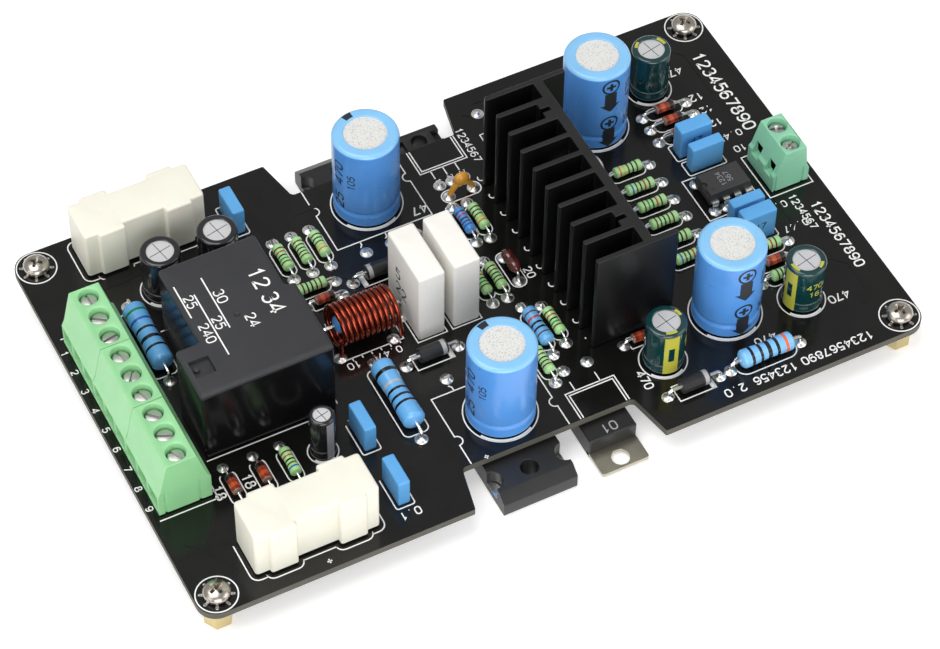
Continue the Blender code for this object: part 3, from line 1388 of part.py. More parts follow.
def main():
    """Build every piece."""
    clear_scene()
    brass = make_material("brass", (0.78, 0.57, 0.22), 0.3, 1.0)
    zinc = make_material("zinc", (0.72, 0.72, 0.7), 0.3, 1.0)
    mint = make_material("mint_plastic", (0.36, 0.85, 0.45), 0.4)
    jade = make_material("jade_plastic", (0.3, 0.68, 0.45), 0.4)
    case = make_material("black_plastic", (0.02, 0.02, 0.022), 0.4)
    cream = make_material("cream_plastic", (0.86, 0.82, 0.7), 0.5)
    blue = make_material("blue_sleeve", (0.06, 0.33, 0.8), 0.3)
    green = make_material("green_sleeve", (0.01, 0.15, 0.12), 0.3)
    build_board(make_material("board_mask", (0.012, 0.012, 0.014), 0.25))
    build_standoffs(brass)
    build_board_screws(zinc)
    build_blocks(mint, jade)
    build_terminal_metal(zinc, brass)
    build_relay(case)
    build_fuses(cream, cream, make_material("fuse_glass", (0.75, 0.8, 0.8), 0.1))
    build_heatsink(make_material("black_anodised", (0.015, 0.015, 0.016), 0.35, 0.6))
    build_chip(case, zinc)
    build_cans(blue, green)
    build_coil(make_material("enamelled_wire", (0.35, 0.06, 0.02), 0.3, 0.5))
    build_trimmer(make_material("trimmer_blue", (0.03, 0.1, 0.55), 0.35), brass)
    build_dip(case)
    build_power_transistors(case)
    build_small_transistor(case)
    build_thermal_switch(case)


main()
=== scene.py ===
"""Looks of a mono audio power amplifier board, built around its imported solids.

Sizes are in millimetres and become metres when a mesh is made. X runs from the
power terminals to the signal input, Y from the front edge to the back edge, Z up.
"""

import logging
import math
from collections.abc import Callable, Iterable, Sequence
from dataclasses import dataclass
from enum import Enum
from typing import Self

import bmesh
import bpy
import numpy as np
from mathutils import Matrix, Vector
from mathutils.geometry import tessellate_polygon


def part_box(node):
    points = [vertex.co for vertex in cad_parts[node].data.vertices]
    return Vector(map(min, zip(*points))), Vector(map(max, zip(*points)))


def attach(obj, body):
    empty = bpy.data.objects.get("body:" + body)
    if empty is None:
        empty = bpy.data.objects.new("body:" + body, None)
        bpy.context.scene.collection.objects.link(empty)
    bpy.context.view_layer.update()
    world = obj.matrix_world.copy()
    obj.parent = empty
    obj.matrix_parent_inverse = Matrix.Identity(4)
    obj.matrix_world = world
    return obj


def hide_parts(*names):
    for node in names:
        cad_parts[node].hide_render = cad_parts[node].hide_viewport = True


MM = 0.001
TURN = 2 * math.pi
Array = np.ndarray
Place = Sequence[float]
Item = bpy.types.Object
Tree = bpy.types.NodeTree
Socket = bpy.types.NodeSocket
Colour = tuple[float, float, float]
Paint = Array | None
Mapping = Callable[[Array, float], Array]

log = logging.getLogger("amplifier_board")
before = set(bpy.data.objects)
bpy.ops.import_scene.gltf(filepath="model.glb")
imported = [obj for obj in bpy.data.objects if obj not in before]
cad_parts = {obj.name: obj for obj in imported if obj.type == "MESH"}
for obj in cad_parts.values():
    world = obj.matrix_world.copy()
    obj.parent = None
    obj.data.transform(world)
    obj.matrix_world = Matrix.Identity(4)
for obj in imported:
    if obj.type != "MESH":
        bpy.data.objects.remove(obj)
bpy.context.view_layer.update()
BOARD = "circuit_board"
SIDES = (-1, 1)


class Axis(Enum):
    """Direction that a turned or laid piece points along."""

    X = "x"
    Y = "y"
    Z = "z"


def unit(vectors: Array) -> Array:
    """Vectors scaled to length one."""
    return vectors / np.maximum(np.linalg.norm(vectors, axis=-1, keepdims=True), 1e-12)


def turned_to(points: Array, axis: Axis) -> Array:
    """Points whose Z becomes the given axis, by a cyclic change of coordinates."""
    order = {Axis.X: [2, 0, 1], Axis.Y: [1, 2, 0], Axis.Z: [0, 1, 2]}
    return points[..., order[axis]]


def node_box(name: str) -> tuple[Array, Array]:
    """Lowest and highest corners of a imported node, in millimetres."""
    low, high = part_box(name)
    return np.array(low) / MM, np.array(high) / MM


def node_centre(name: str) -> Array:
    """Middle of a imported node's box, in millimetres."""
    return sum(node_box(name)) / 2


def arc(centre: Place, radius: float, start: float, stop: float, steps: int = 8) -> Array:
    """Points at centre + radius (cos a, sin a), with a from start to stop in degrees."""
    angle = np.radians(np.linspace(start, stop, steps + 1))
    return np.array(centre) + radius * np.column_stack([np.cos(angle), np.sin(angle)])


def circle(centre: Place, radius: float, sides: int = 32) -> Array:
    """Corners of a regular polygon, counter-clockwise, without a repeated end."""
    return arc(centre, radius, 0.0, 360.0, sides)[:-1]


def spin(angle: float) -> Array:
    """Matrix that turns rows of x and y counter-clockwise by an angle in degrees."""
    turn = math.radians(angle)
    return np.array([[math.cos(turn), math.sin(turn)], [-math.sin(turn), math.cos(turn)]])


def rim(size: float, top: float, angles: Iterable[float]) -> list[tuple[float, float]]:
    """Inset size (1 - cos a) and height top - size (1 - sin a) of a rounded upper edge."""
    turns = [math.radians(angle) for angle in angles]
    return [(size * (1 - math.cos(a)), top - size * (1 - math.sin(a))) for a in turns]


def dome(radius: float, base: float, rise: float) -> list[tuple[float, float]]:
    """Radius r cos a and height base + rise sin a of a screw's rounded head."""
    turns = [math.radians(angle) for angle in range(0, 88, 8)]
    return [(radius * math.cos(a), base + rise * math.sin(a)) for a in turns]


def eased(low: float, high: float, foot: float, head: float) -> list[tuple[float, float]]:
    """Levels of a block whose lower and upper edges are cut at 45 degrees."""
    return [(foot, low), (0.0, low + foot), (0.0, high - head), (head, high)]


def rounded(corners: Sequence[Place], steps: int = 4) -> Array:
    """Closed outline whose corners (x, y, radius) are each swept by an arc.

    Args:
        corners: Counter-clockwise corners with the radius of each.
        steps: Segments of each arc.

    Returns:
        The outline's points, one row each.
    """
    pieces = []
    for index, (x, y, radius) in enumerate(corners):
        here = np.array([x, y], float)
        if radius <= 0:
            pieces.append(here[None])
            continue
        before = unit(np.array(corners[index - 1][:2]) - here)
        after = unit(np.array(corners[(index + 1) % len(corners)][:2]) - here)
        half = math.acos(float(np.clip(before @ after, -1, 1))) / 2
        centre = here + unit(before + after) * (radius / math.sin(half))
        first = here + before * (radius / math.tan(half)) - centre
        last = here + after * (radius / math.tan(half)) - centre
        sweep = math.pi - 2 * half
        share = np.linspace(0, 1, steps + 1)[:, None]
        blend = np.sin((1 - share) * sweep) * first + np.sin(share * sweep) * last
        pieces.append(centre + blend / math.sin(sweep))
    return np.concatenate(pieces)


def mitres(before: Array, after: Array, least: float = 1e-12) -> Array:
    """Offset directions between segments: (n1 + n2) / (1 + n1.n2), from their unit normals."""
    first = np.column_stack([-before[:, 1], before[:, 0]])
    second = np.column_stack([-after[:, 1], after[:, 0]])
    share = 1 + np.sum(first * second, axis=1, keepdims=True)
    return (first + second) / np.maximum(share, least)


def offset(outline: Array, inset: float) -> Array:
    """Outline moved inwards along its mitres."""
    before = unit(outline - np.roll(outline, 1, axis=0))
    after = unit(np.roll(outline, -1, axis=0) - outline)
    return outline + mitres(before, after) * inset


@dataclass(frozen=True)
class Plan:
    """Counter-clockwise outline kept as corners (x, y, radius), so that it can be inset.

    An inset moves the corners along their mitres. The radius shrinks by it where the
    outline turns out and grows by it where the outline turns in, and never reaches
    zero, so every inset of a plan has as many points.
    """

    corners: Array
    steps: int = 4
    least: float = 0.02

    def outline(self, inset: float = 0.0) -> Array:
        """Points of the plan after an inset."""
        places, radii = self.corners[:, :2], self.corners[:, 2]
        before = places - np.roll(places, 1, axis=0)
        after = np.roll(places, -1, axis=0) - places
        bend = np.sign(before[:, 0] * after[:, 1] - before[:, 1] * after[:, 0])
        radii = np.where(radii > 0, np.maximum(radii - inset * bend, self.least), 0.0)
        return rounded(np.column_stack([offset(places, inset), radii]), self.steps)


def rectangle(x0: float, x1: float, y0: float, y1: float, radius: float = 0.0, steps: int = 4) -> Plan:
    """Rectangular plan with equal corner radii."""
    return Plan(np.array([(x0, y0, radius), (x1, y0, radius), (x1, y1, radius), (x0, y1, radius)]), steps)


def box_plan(x: float, y: float, half_x: float, half_y: float, radius: float = 0.0, steps: int = 4) -> Plan:
    """Rectangular plan about a centre."""
    return rectangle(x - half_x, x + half_x, y - half_y, y + half_y, radius, steps)


def spaced(path: Array, longest: float) -> Array:
    """Path with points added by linear interpolation until no segment is longer than the limit."""
    steps = np.linalg.norm(np.diff(path, axis=0), axis=1)
    along = np.concatenate([[0.0], np.cumsum(steps)])
    count = max(int(math.ceil(along[-1] / longest)), 1)
    stations = np.unique(np.concatenate([along, np.linspace(0, along[-1], count + 1)]))
    return np.column_stack([np.interp(stations, along, column) for column in path.T])


def softened(path: Array, rounds: int = 2) -> Array:
    """Open path whose corners are cut at a quarter and three quarters of each segment, repeatedly."""
    for _ in range(rounds):
        near = 0.75 * path[:-1] + 0.25 * path[1:]
        far = 0.25 * path[:-1] + 0.75 * path[1:]
        inner = np.stack([near, far], axis=1).reshape(-1, path.shape[1])
        path = np.concatenate([path[:1], inner, path[-1:]])
    return path


def plane_map(origin: Place, along: Place, up: Place) -> Mapping:
    """Mapping of (u, v) onto a plane: u and v run along two unit directions, and lift across both."""
    first, second = np.array(along), np.array(up)
    out = np.cross(first, second)

    def place(points: Array, lift: float) -> Array:
        """Point at origin + u first + v second + lift out."""
        return np.array(origin) + points[..., :1] * first + points[..., 1:] * second + lift * out

    return place


def flat_map(origin: Place, height: float, angle: float = 0.0) -> Mapping:
    """Mapping onto a level plane, turned about its origin by an angle in degrees."""
    along, across = spin(angle)
    return plane_map((*origin[:2], height), (*along, 0.0), (*across, 0.0))


def wall_map(origin: Place, angle: float) -> Mapping:
    """Mapping onto an upright face: u level towards an angle in the plan, v up, lift to the right of u."""
    return plane_map(origin, (*spin(angle)[0], 0.0), (0.0, 0.0, 1.0))


def can_map(centre: Place, radius: float, bearing: float) -> Mapping:
    """Mapping of arc length u and height v onto an upright cylinder, with u zero at the bearing."""

    def place(points: Array, lift: float) -> Array:
        """Point at angle bearing + u / radius and distance radius + lift from the axis."""
        angle = math.radians(bearing) + points[..., 0] / radius
        x, y = centre[0] + (radius + lift) * np.cos(angle), centre[1] + (radius + lift) * np.sin(angle)
        return np.stack([x, y, points[..., 1]], axis=-1)

    return place


class Surface:
    """Closed shells gathered as whole arrays before they become one mesh.

    Every method that adds a shell returns the surface, so that calls can follow each other.
    """

    def __init__(self) -> None:
        """Start with no points and no faces."""
        self.points: list[Array] = []
        self.faces: list[list[int]] = []
        self.slots: list[Array] = []
        self.paints: list[Array] = []
        self.count = 0

    def add(self, points: Array, faces: list[list[int]], slot: int = 0, paint: Paint = None) -> Self:
        """Add points and the faces between them.

        Args:
            points: Positions in millimetres, one row each.
            faces: Lists of point numbers that start at zero.
            slot: Material slot of these faces.
            paint: One row of colour for each face, or None for white.
        """
        self.faces += [[corner + self.count for corner in face] for face in faces]
        self.points.append(points)
        self.slots.append(np.full(len(faces), slot, np.int32))
        self.paints.append(np.ones((len(faces), 3)) if paint is None else paint)
        self.count += len(points)
        return self

    def skin(self, rings: Array, loop: bool = False, slot: int = 0, paint: Paint = None) -> Self:
        """Join each ring of points to the next by quads, and close the ends.

        Args:
            rings: Array of rings, points and coordinates.
            loop: True where the last ring joins the first and there are no ends.
            slot: Material slot of the faces.
            paint: One row of colour for each band between two rings, or None for white.
        """
        count, sides = rings.shape[:2]
        corner = np.arange(sides)
        after = np.roll(corner, -1)
        bands = np.arange(count if loop else count - 1)[:, None]
        base, above = bands * sides, (bands + 1) % count * sides
        quads = np.stack([base + corner, base + after, above + after, above + corner], axis=-1)
        faces = quads.reshape(-1, 4).tolist()
        colours = np.repeat(np.ones((len(bands), 3)) if paint is None else paint, sides, axis=0)
        if not loop:
            faces += [corner[::-1].tolist(), (corner + (count - 1) * sides).tolist()]
            colours = np.concatenate([colours, colours[:1], colours[-1:]])
        return self.add(rings.reshape(-1, 3), faces, slot, colours)

    def lathe(
        self,
        profile: Sequence[Place],
        centre: Place,
        sides: int = 32,
        axis: Axis = Axis.Z,
        paint: Paint = None,
    ) -> Self:
        """Turn a profile about an axis: each (r, h) becomes a ring r (cos a, sin a) at height h.

        Args:
            profile: Radius and height pairs, all with a radius above zero.
            centre: Point on the axis where the height is zero; its Z may be left out.
            sides: Points of each ring.
            axis: Direction of the axis.
            paint: One row of colour for each band between two rings, or None for white.
        """
        radius, height = np.array(profile, float).T
        rings = radius[:, None, None] * circle((0.0, 0.0), 1.0, sides)
        level = np.broadcast_to(height[:, None, None], (len(height), sides, 1))
        rings = turned_to(np.concatenate([rings, level], axis=-1), axis)
        return self.skin(rings + np.array((*centre, 0.0)[:3]), paint=paint)

    def sweep(
        self, path: Array, radius: float | Array, reference: Place, sides: int, slot: int = 0
    ) -> Self:
        """Carry a circle along a path, in the plane across the tangent.

        Args:
            path: Points of the centre line.
            radius: One radius, or one for each point.
            reference: Direction that the path never runs along.
            sides: Points of each ring.
            slot: Material slot of the faces.
        """
        tangent = unit(np.gradient(path, axis=0))
        across = unit(np.cross(tangent, np.array(reference, float)))
        upright = np.cross(tangent, across)
        turns = circle((0.0, 0.0), 1.0, sides)
        reach = np.broadcast_to(np.asarray(radius, float), (len(path),))[:, None, None]
        ring = across[:, None] * turns[:, :1] + upright[:, None] * turns[:, 1:]
        return self.skin(path[:, None] + reach * ring, slot=slot)

    def stack(self, outline: Plan | Array, levels: Sequence[Place], axis: Axis = Axis.Z) -> Self:
        """Pile up copies of an outline, each inset by its own amount at its own height.

        Args:
            outline: Plan, or the points of one.
            levels: Inset and height pairs from the bottom up.
            axis: Direction that the height runs along.
        """
        rings = []
        for inset, height in levels:
            ring = outline.outline(inset) if isinstance(outline, Plan) else offset(outline, inset)
            rings.append(np.column_stack([ring, np.full(len(ring), height)]))
        return self.skin(turned_to(np.array(rings), axis))

    def prism(self, section: Array, low: float, high: float, axis: Axis) -> Self:
        """Draw a section of the two other coordinates along X or Y, from low to high."""
        column = 0 if axis is Axis.X else 1
        return self.skin(np.array([np.insert(section, column, edge, axis=1) for edge in (low, high)]))

    def plate(
        self, outline: Array, holes: Sequence[Array], low: float, high: float, side_slot: int = 0
    ) -> Self:
        """Add a level plate with straight holes; its two faces take slot 0."""
        loops = [outline, *[hole[::-1] for hole in holes]]
        polygons = [[Vector((x, y, 0.0)) for x, y in loop] for loop in loops]
        triangles = [list(triangle) for triangle in tessellate_polygon(polygons)]
        flat = np.concatenate(loops)
        count = len(flat)
        faces = [[corner + count for corner in face] for face in triangles]
        faces += [face[::-1] for face in triangles]
        level = len(faces)
        start = 0
        for loop in loops:
            corner = np.arange(len(loop)) + start
            after = np.roll(corner, -1)
            faces += np.column_stack([corner, after, after + count, corner + count]).tolist()
            start += len(loop)
        points = [np.column_stack([flat, np.full(count, height)]) for height in (low, high)]
        self.add(np.concatenate(points), faces)
        self.slots[-1][level:] = side_slot
        return self

    def ball(self, centre: Place, size: Place) -> Self:
        """Add an ellipsoid: a half circle turned about Z, scaled along each axis."""
        rise = np.radians(np.linspace(-88, 88, 15))[:, None]
        turns = circle((0.0, 0.0), 1.0, 24)
        level = np.broadcast_to(np.sin(rise), (15, 24))
        rings = np.stack([np.cos(rise) * turns[:, 0], np.cos(rise) * turns[:, 1], level], axis=-1)
        return self.skin(rings * np.array(size) + np.array(centre))


STROKES: dict[str, list[tuple[bool, list[tuple[float, float]]]]] = {
    "0": [(True, [(0, 3), (0, 4.8), (1, 6), (3, 6), (4, 4.8), (4, 1.2), (3, 0), (1, 0), (0, 1.2), (0, 3)])],
    "1": [(False, [(0.8, 4.6), (2.2, 6), (2.2, 0)])],
    "2": [
        (True, [(0, 4.6), (0.6, 5.8), (2, 6.1), (3.6, 5.6), (4, 4.4), (3.2, 3), (1.4, 1.4), (0, 0)]),
        (False, [(0, 0), (4, 0)]),
    ],
    "3": [
        (True, [(0.2, 5.2), (1.2, 6.1), (3, 6), (3.8, 4.8), (3.2, 3.4), (1.6, 3.2)]),
        (True, [(1.6, 3.2), (3.4, 3.1), (4.1, 1.6), (3, 0), (1.2, -0.1), (0, 0.9)]),
    ],
    "4": [(False, [(3, 0), (3, 6), (0, 1.7), (4.2, 1.7)])],
    "5": [
        (False, [(3.7, 6), (0.7, 6), (0.3, 3.2)]),
        (True, [(0.3, 3.2), (1.8, 3.9), (3.6, 3.5), (4.1, 1.8), (3, 0), (1.2, -0.1), (0, 0.9)]),
    ],
    "6": [
        (True, [(3.6, 5.2), (2.4, 6.1), (0.9, 5.6), (0, 3.8), (0, 1.4), (1, 0), (3, 0), (4, 1.4)]),
        (True, [(4, 1.4), (3.8, 3), (2.2, 3.8), (0.8, 3.2), (0.1, 2)]),
    ],
    "7": [(False, [(0, 6), (4, 6), (1.4, 0)])],
    "8": [
        (True, [(2, 3.2), (0.5, 3.8), (0.5, 5.4), (2, 6.2), (3.5, 5.4), (3.5, 3.8), (2, 3.2)]),
        (True, [(2, 3.2), (0, 2.6), (0, 0.7), (2, -0.2), (4, 0.7), (4, 2.6), (2, 3.2)]),
    ],
    "9": [
        (True, [(0.4, 0.8), (1.6, -0.1), (3.1, 0.4), (4, 2.2), (4, 4.6), (3, 6), (1, 6), (0, 4.6)]),
        (True, [(0, 4.6), (0.2, 3), (1.8, 2.2), (3.2, 2.8), (3.9, 4)]),
    ],
    "+": [(False, [(0.2, 3), (3.8, 3)]), (False, [(2, 1.2), (2, 4.8)])],
    "-": [(False, [(0.4, 3), (3.6, 3)])],
    ".": [(False, [(1.8, 0.1), (2.3, 0.1)])],
}
GLYPH_WIDTH = 4.0
GLYPH_STEP = 5.6
GLYPH_HEIGHT = 6.0


@dataclass
class Ink:
    """Thin raised print that follows the surface which a mapping describes."""

    surface: Surface
    mapping: Mapping
    width: float = 0.25
    height: float = 0.035
    sink: float = 0.03
    slot: int = 0
    longest: float = 1000.0

    def stroke(self, path: Sequence[Place], closed: bool = False, width: float | None = None) -> None:
        """Lay a ribbon along a path: the path offset by half the width to each side.

        Args:
            path: Points (u, v); a closed path doesn't repeat its first point.
            closed: True where the ribbon joins up with its start.
            width: Width of this ribbon, or None for the usual one.
        """
        points = np.array([*path, path[0]] if closed else path, float)
        points = spaced(points, self.longest)
        ahead = unit(np.diff(points, axis=0))
        before = np.concatenate([ahead[-1:] if closed else ahead[:1], ahead])
        after = np.concatenate([ahead, ahead[:1] if closed else ahead[-1:]])
        reach = mitres(before, after, 0.3) * (width or self.width) / 2
        left, right = points + reach, points - reach
        if closed:
            left, right = left[:-1], right[:-1]
        corners = [(right, -self.sink), (right, self.height), (left, self.height), (left, -self.sink)]
        rings = np.stack([self.mapping(side, lift) for side, lift in corners], axis=1)
        self.surface.skin(rings, loop=closed, slot=self.slot)

    def outline(self, x: float, y: float, half_x: float, half_y: float, radius: float = 0.0) -> None:
        """Closed outline of a box about a centre."""
        self.stroke(box_plan(x, y, half_x, half_y, radius, 6).outline(), closed=True)

    def patch(self, grid: Array) -> None:
        """Lay a slab over a grid of (u, v), with its front above and its back below the surface."""
        front, back = self.mapping(grid, self.height), self.mapping(grid, -self.sink)
        self.surface.skin(np.concatenate([front, back[:, ::-1]], axis=1), slot=self.slot)

    def block(self, u0: float, u1: float, v0: float, v1: float, columns: int = 8) -> None:
        """Lay a filled rectangle."""
        u, v = np.meshgrid(np.linspace(u0, u1, columns + 1), np.linspace(v0, v1, 3))
        self.patch(np.stack([u, v], axis=-1))

    def taper(self, v0: float, v1: float, half0: float, half1: float) -> None:
        """Lay a filled trapezium about u = 0, from half width half0 at v0 to half1 at v1."""
        share = np.linspace(0, 1, 5)[:, None]
        u = (half0 + (half1 - half0) * share) * np.linspace(-1, 1, 9)
        self.patch(np.stack([u, np.broadcast_to(v0 + (v1 - v0) * share, u.shape)], axis=-1))

    def sector(self, start: float, stop: float, near: float, far: float, columns: int) -> None:
        """Lay a filled piece of a ring between two angles in degrees and two radii."""
        angle, reach = np.meshgrid(np.radians(np.linspace(start, stop, columns + 1)), np.array([near, far]))
        self.patch(np.stack([reach * np.cos(angle), reach * np.sin(angle)], axis=-1))

    def number(self, text: str, size: float, centre: Place = (0.0, 0.0), bold: float = 0.16) -> None:
        """Write plain digits and signs from single strokes.

        Args:
            text: Digits and signs that STROKES holds.
            size: Height of a digit.
            centre: Middle of the text in (u, v).
            bold: Stroke width as a share of the height.
        """
        start = -(len(text) * GLYPH_STEP - (GLYPH_STEP - GLYPH_WIDTH)) / 2
        for index, sign in enumerate(text):
            for soft, points in STROKES[sign]:
                path = softened(np.array(points, float)) if soft else np.array(points, float)
                path = path + np.array([start + index * GLYPH_STEP, -GLYPH_HEIGHT / 2])
                self.stroke(path * (size / GLYPH_HEIGHT) + np.array(centre), width=size * bold)


def dial(node: bpy.types.Node, **values: object) -> None:
    """Set a node's inputs, named with an underscore for each space."""
    for name, value in values.items():
        node.inputs[name.replace("_", " ")].default_value = value


GLOSS_SPREAD = 0.06
GLOSS_SCALE = 420.0
GRAIN_DEPTH = 0.00004


@dataclass(frozen=True)
class Finish:
    """A procedural surface whose colour drifts, whose gloss is uneven and whose skin has grain.

    Lengths are given as noise scales per metre. The paint attribute of the mesh
    multiplies the colour where painted is set.
    """

    name: str
    colour: Colour
    roughness: float = 0.4
    metallic: float = 0.0
    drift: float = 0.05
    drift_scale: float = 140.0
    grain: float = 0.12
    grain_scale: float = 3000.0
    stretch: tuple[float, float, float] = (1.0, 1.0, 1.0)
    coat: float = 0.0
    specular: float = 0.5
    subsurface: float = 0.0
    transmission: float = 0.0
    painted: bool = False

    def material(self) -> bpy.types.Material:
        """The node material, made once."""
        material = bpy.data.materials.get(self.name)
        if material:
            return material
        material = bpy.data.materials.new(self.name)
        material.use_nodes = True
        tree = material.node_tree
        shader = tree.nodes["Principled BSDF"]
        dial(shader, Metallic=self.metallic, Coat_Weight=self.coat, Coat_Roughness=0.08)
        dial(shader, Specular_IOR_Level=self.specular, Transmission_Weight=self.transmission)
        if self.subsurface:
            dial(shader, Subsurface_Weight=self.subsurface, Subsurface_Scale=0.002)
        source = tree.nodes.new("ShaderNodeTexCoord")
        mapping = tree.nodes.new("ShaderNodeMapping")
        dial(mapping, Scale=self.stretch)
        tree.links.new(source.outputs["Object"], mapping.inputs["Vector"])
        vector = mapping.outputs["Vector"]
        tree.links.new(self.tint(tree, vector), shader.inputs["Base Color"])
        rough = tree.nodes.new("ShaderNodeMapRange")
        low, high = max(self.roughness - GLOSS_SPREAD, 0.02), self.roughness + GLOSS_SPREAD
        dial(rough, To_Min=low, To_Max=high)
        tree.links.new(self.noise(tree, vector, GLOSS_SCALE, 3.0), rough.inputs["Value"])
        tree.links.new(rough.outputs["Result"], shader.inputs["Roughness"])
        bump = tree.nodes.new("ShaderNodeBump")
        dial(bump, Strength=self.grain, Distance=GRAIN_DEPTH)
        tree.links.new(self.relief(tree, vector), bump.inputs["Height"])
        tree.links.new(bump.outputs["Normal"], shader.inputs["Normal"])
        return material

    def noise(self, tree: Tree, vector: Socket, scale: float, detail: float) -> Socket:
        """Noise output at the given scale."""
        node = tree.nodes.new("ShaderNodeTexNoise")
        dial(node, Scale=scale, Detail=detail)
        tree.links.new(vector, node.inputs["Vector"])
        return node.outputs["Fac"]

    def relief(self, tree: Tree, vector: Socket) -> Socket:
        """Height of the fine grain."""
        return self.noise(tree, vector, self.grain_scale, 4.0)

    def ramp(self, tree: Tree, fac: Socket, *stops: tuple[float, Colour]) -> Socket:
        """Colour ramp over two stops, each a position and a colour."""
        node = tree.nodes.new("ShaderNodeValToRGB")
        for element, (position, colour) in zip(node.color_ramp.elements, stops):
            element.position = position
            element.color = (*colour, 1.0)
        tree.links.new(fac, node.inputs["Fac"])
        return node.outputs["Color"]

    def tint(self, tree: Tree, vector: Socket) -> Socket:
        """Colour that drifts between a darker and a lighter tone."""
        dark, light = ([tone * share for tone in self.colour] for share in (1 - self.drift, 1 + self.drift))
        colour = self.ramp(tree, self.noise(tree, vector, self.drift_scale, 4.0), (0.3, dark), (0.7, light))
        if not self.painted:
            return colour
        paint = tree.nodes.new("ShaderNodeVertexColor")
        paint.layer_name = "paint"
        mix = tree.nodes.new("ShaderNodeMix")
        mix.data_type = "RGBA"
        mix.blend_type = "MULTIPLY"
        dial(mix, Factor=1.0)
        tree.links.new(colour, mix.inputs[6])
        tree.links.new(paint.outputs["Color"], mix.inputs[7])
        return mix.outputs[2]


@dataclass(frozen=True)
class Laminate(Finish):
    """Cut edge of woven glass board, whose layers show as thin level bands."""

    layer_scale: float = 2600.0

    def relief(self, tree: Tree, vector: Socket) -> Socket:
        """Bands across Z, roughened by noise."""
        wave = tree.nodes.new("ShaderNodeTexWave")
        wave.bands_direction = "Z"
        dial(wave, Scale=self.layer_scale, Distortion=3.0, Detail=3.0)
        tree.links.new(vector, wave.inputs["Vector"])
        return wave.outputs["Fac"]


@dataclass(frozen=True)
class Speckled(Finish):
    """Pale skin sprinkled with small darker dots."""

    dot_scale: float = 3400.0
    dot_colour: Colour = (0.46, 0.455, 0.44)

    def tint(self, tree: Tree, vector: Socket) -> Socket:
        """Base tone with dots where fine noise is highest."""
        fac = self.noise(tree, vector, self.dot_scale, 2.0)
        return self.ramp(tree, fac, (0.53, self.colour), (0.66, self.dot_colour))


MASK = Finish(
    "solder_mask", (0.0062, 0.0060, 0.0056), 0.17, drift=0.25, grain=0.1, grain_scale=1400,
    specular=0.42,
)
FIBRE = Laminate("glass_fibre_edge", (0.085, 0.081, 0.064), 0.6, drift=0.15, grain=0.5)
SILK = Finish("white_print", (0.86, 0.86, 0.84), 0.55, drift=0.04, grain=0.3)
SOLDER = Finish("solder", (0.93, 0.92, 0.89), 0.3, 1.0, drift=0.06, grain=0.3, grain_scale=1500)
TINNED = Finish("tinned_lead", (0.80, 0.79, 0.76), 0.22, 1.0, drift=0.06, grain=0.3, grain_scale=2500)
ZINC = Finish("zinc_plate", (0.60, 0.59, 0.57), 0.36, 1.0, drift=0.06, grain=0.1, grain_scale=1800)
WARM_NICKEL = Finish("screw_nickel", (0.50, 0.46, 0.41), 0.26, 1.0, drift=0.08, grain=0.1, grain_scale=1500)
BRASS = Finish("turned_brass", (0.60, 0.50, 0.26), 0.26, 1.0, drift=0.08, grain=0.3, grain_scale=2200)
NICKEL = Finish("nickel_tab", (0.50, 0.47, 0.38), 0.34, 1.0, drift=0.1, grain=0.4, grain_scale=1500)
ALUMINIUM = Finish("can_top", (0.80, 0.80, 0.81), 0.38, 0.6, drift=0.06, grain=0.3, stretch=(1, 0.2, 1))
MINT = Finish("mint_moulding", (0.29, 0.63, 0.31), 0.36, drift=0.04, grain=0.25, subsurface=0.15)
JADE = Finish("jade_moulding", (0.25, 0.58, 0.38), 0.36, drift=0.05, grain=0.25, subsurface=0.1)
CREAM = Finish("cream_moulding", (0.84, 0.81, 0.70), 0.42, drift=0.03, grain=0.3, subsurface=0.15)
RELAY_MATT = Finish("relay_lid", (0.024, 0.0245, 0.027), 0.55, drift=0.1, grain=0.7, grain_scale=4200)
RELAY_GLOSS = Finish(
    "relay_case", (0.005, 0.005, 0.0055), 0.18, drift=0.1, grain=0.08, grain_scale=500,
    specular=0.35,
)
BLUE_SLEEVE = Finish(
    "blue_sleeve_film", (0.088, 0.30, 0.74), 0.3, drift=0.05, grain=0.3, painted=True,
    coat=0.3,
)
GREEN_SLEEVE = Finish(
    "green_sleeve_film", (0.002, 0.036, 0.038), 0.16, drift=0.08, grain=0.2, painted=True,
    coat=0.6,
)
BLACK_SLEEVE = Finish(
    "black_sleeve_film", (0.012, 0.012, 0.014), 0.2, drift=0.1, grain=0.2, painted=True,
    coat=0.5,
)
SEAL_AND_GROOVE_SHADE = Finish("rubber_seal_and_groove_shade", (0.01, 0.01, 0.01), 0.7, drift=0.1, grain=0.5)
CAN_DISC = Speckled("speckled_disc", (0.70, 0.695, 0.675), 0.6, grain=0.5, grain_scale=4000)
INK = Finish("black_print", (0.014, 0.017, 0.022), 0.42, drift=0.2, grain=0.3)
GOLD_INK = Finish("gold_print", (0.50, 0.48, 0.05), 0.35, drift=0.08, grain=0.3, coat=0.4)
GREY_INK = Finish("grey_print", (0.30, 0.31, 0.33), 0.35, drift=0.08, grain=0.3, coat=0.4)
FILM_BLUE = Finish("film_capacitor_case", (0.11, 0.39, 0.76), 0.38, drift=0.05, grain=0.35, subsurface=0.05)
ENAMEL = Finish("resistor_enamel", (1.0, 1.0, 1.0), 0.26, drift=0.05, grain=0.3, painted=True, coat=0.35)
GLASS_BODY = Finish(
    "diode_glass", (1.0, 1.0, 1.0), 0.08, drift=0.15, drift_scale=900, painted=True,
    coat=1.0,
)
EPOXY = Finish("black_epoxy", (0.013, 0.013, 0.014), 0.38, drift=0.12, grain=0.6, grain_scale=3600)
SILVER_BAND = Finish("silver_band", (0.42, 0.42, 0.42), 0.4, 0.3, drift=0.06, grain=0.4)
CEMENT = Finish("glazed_ceramic", (0.84, 0.82, 0.77), 0.5, drift=0.03, grain=0.8, grain_scale=1500)
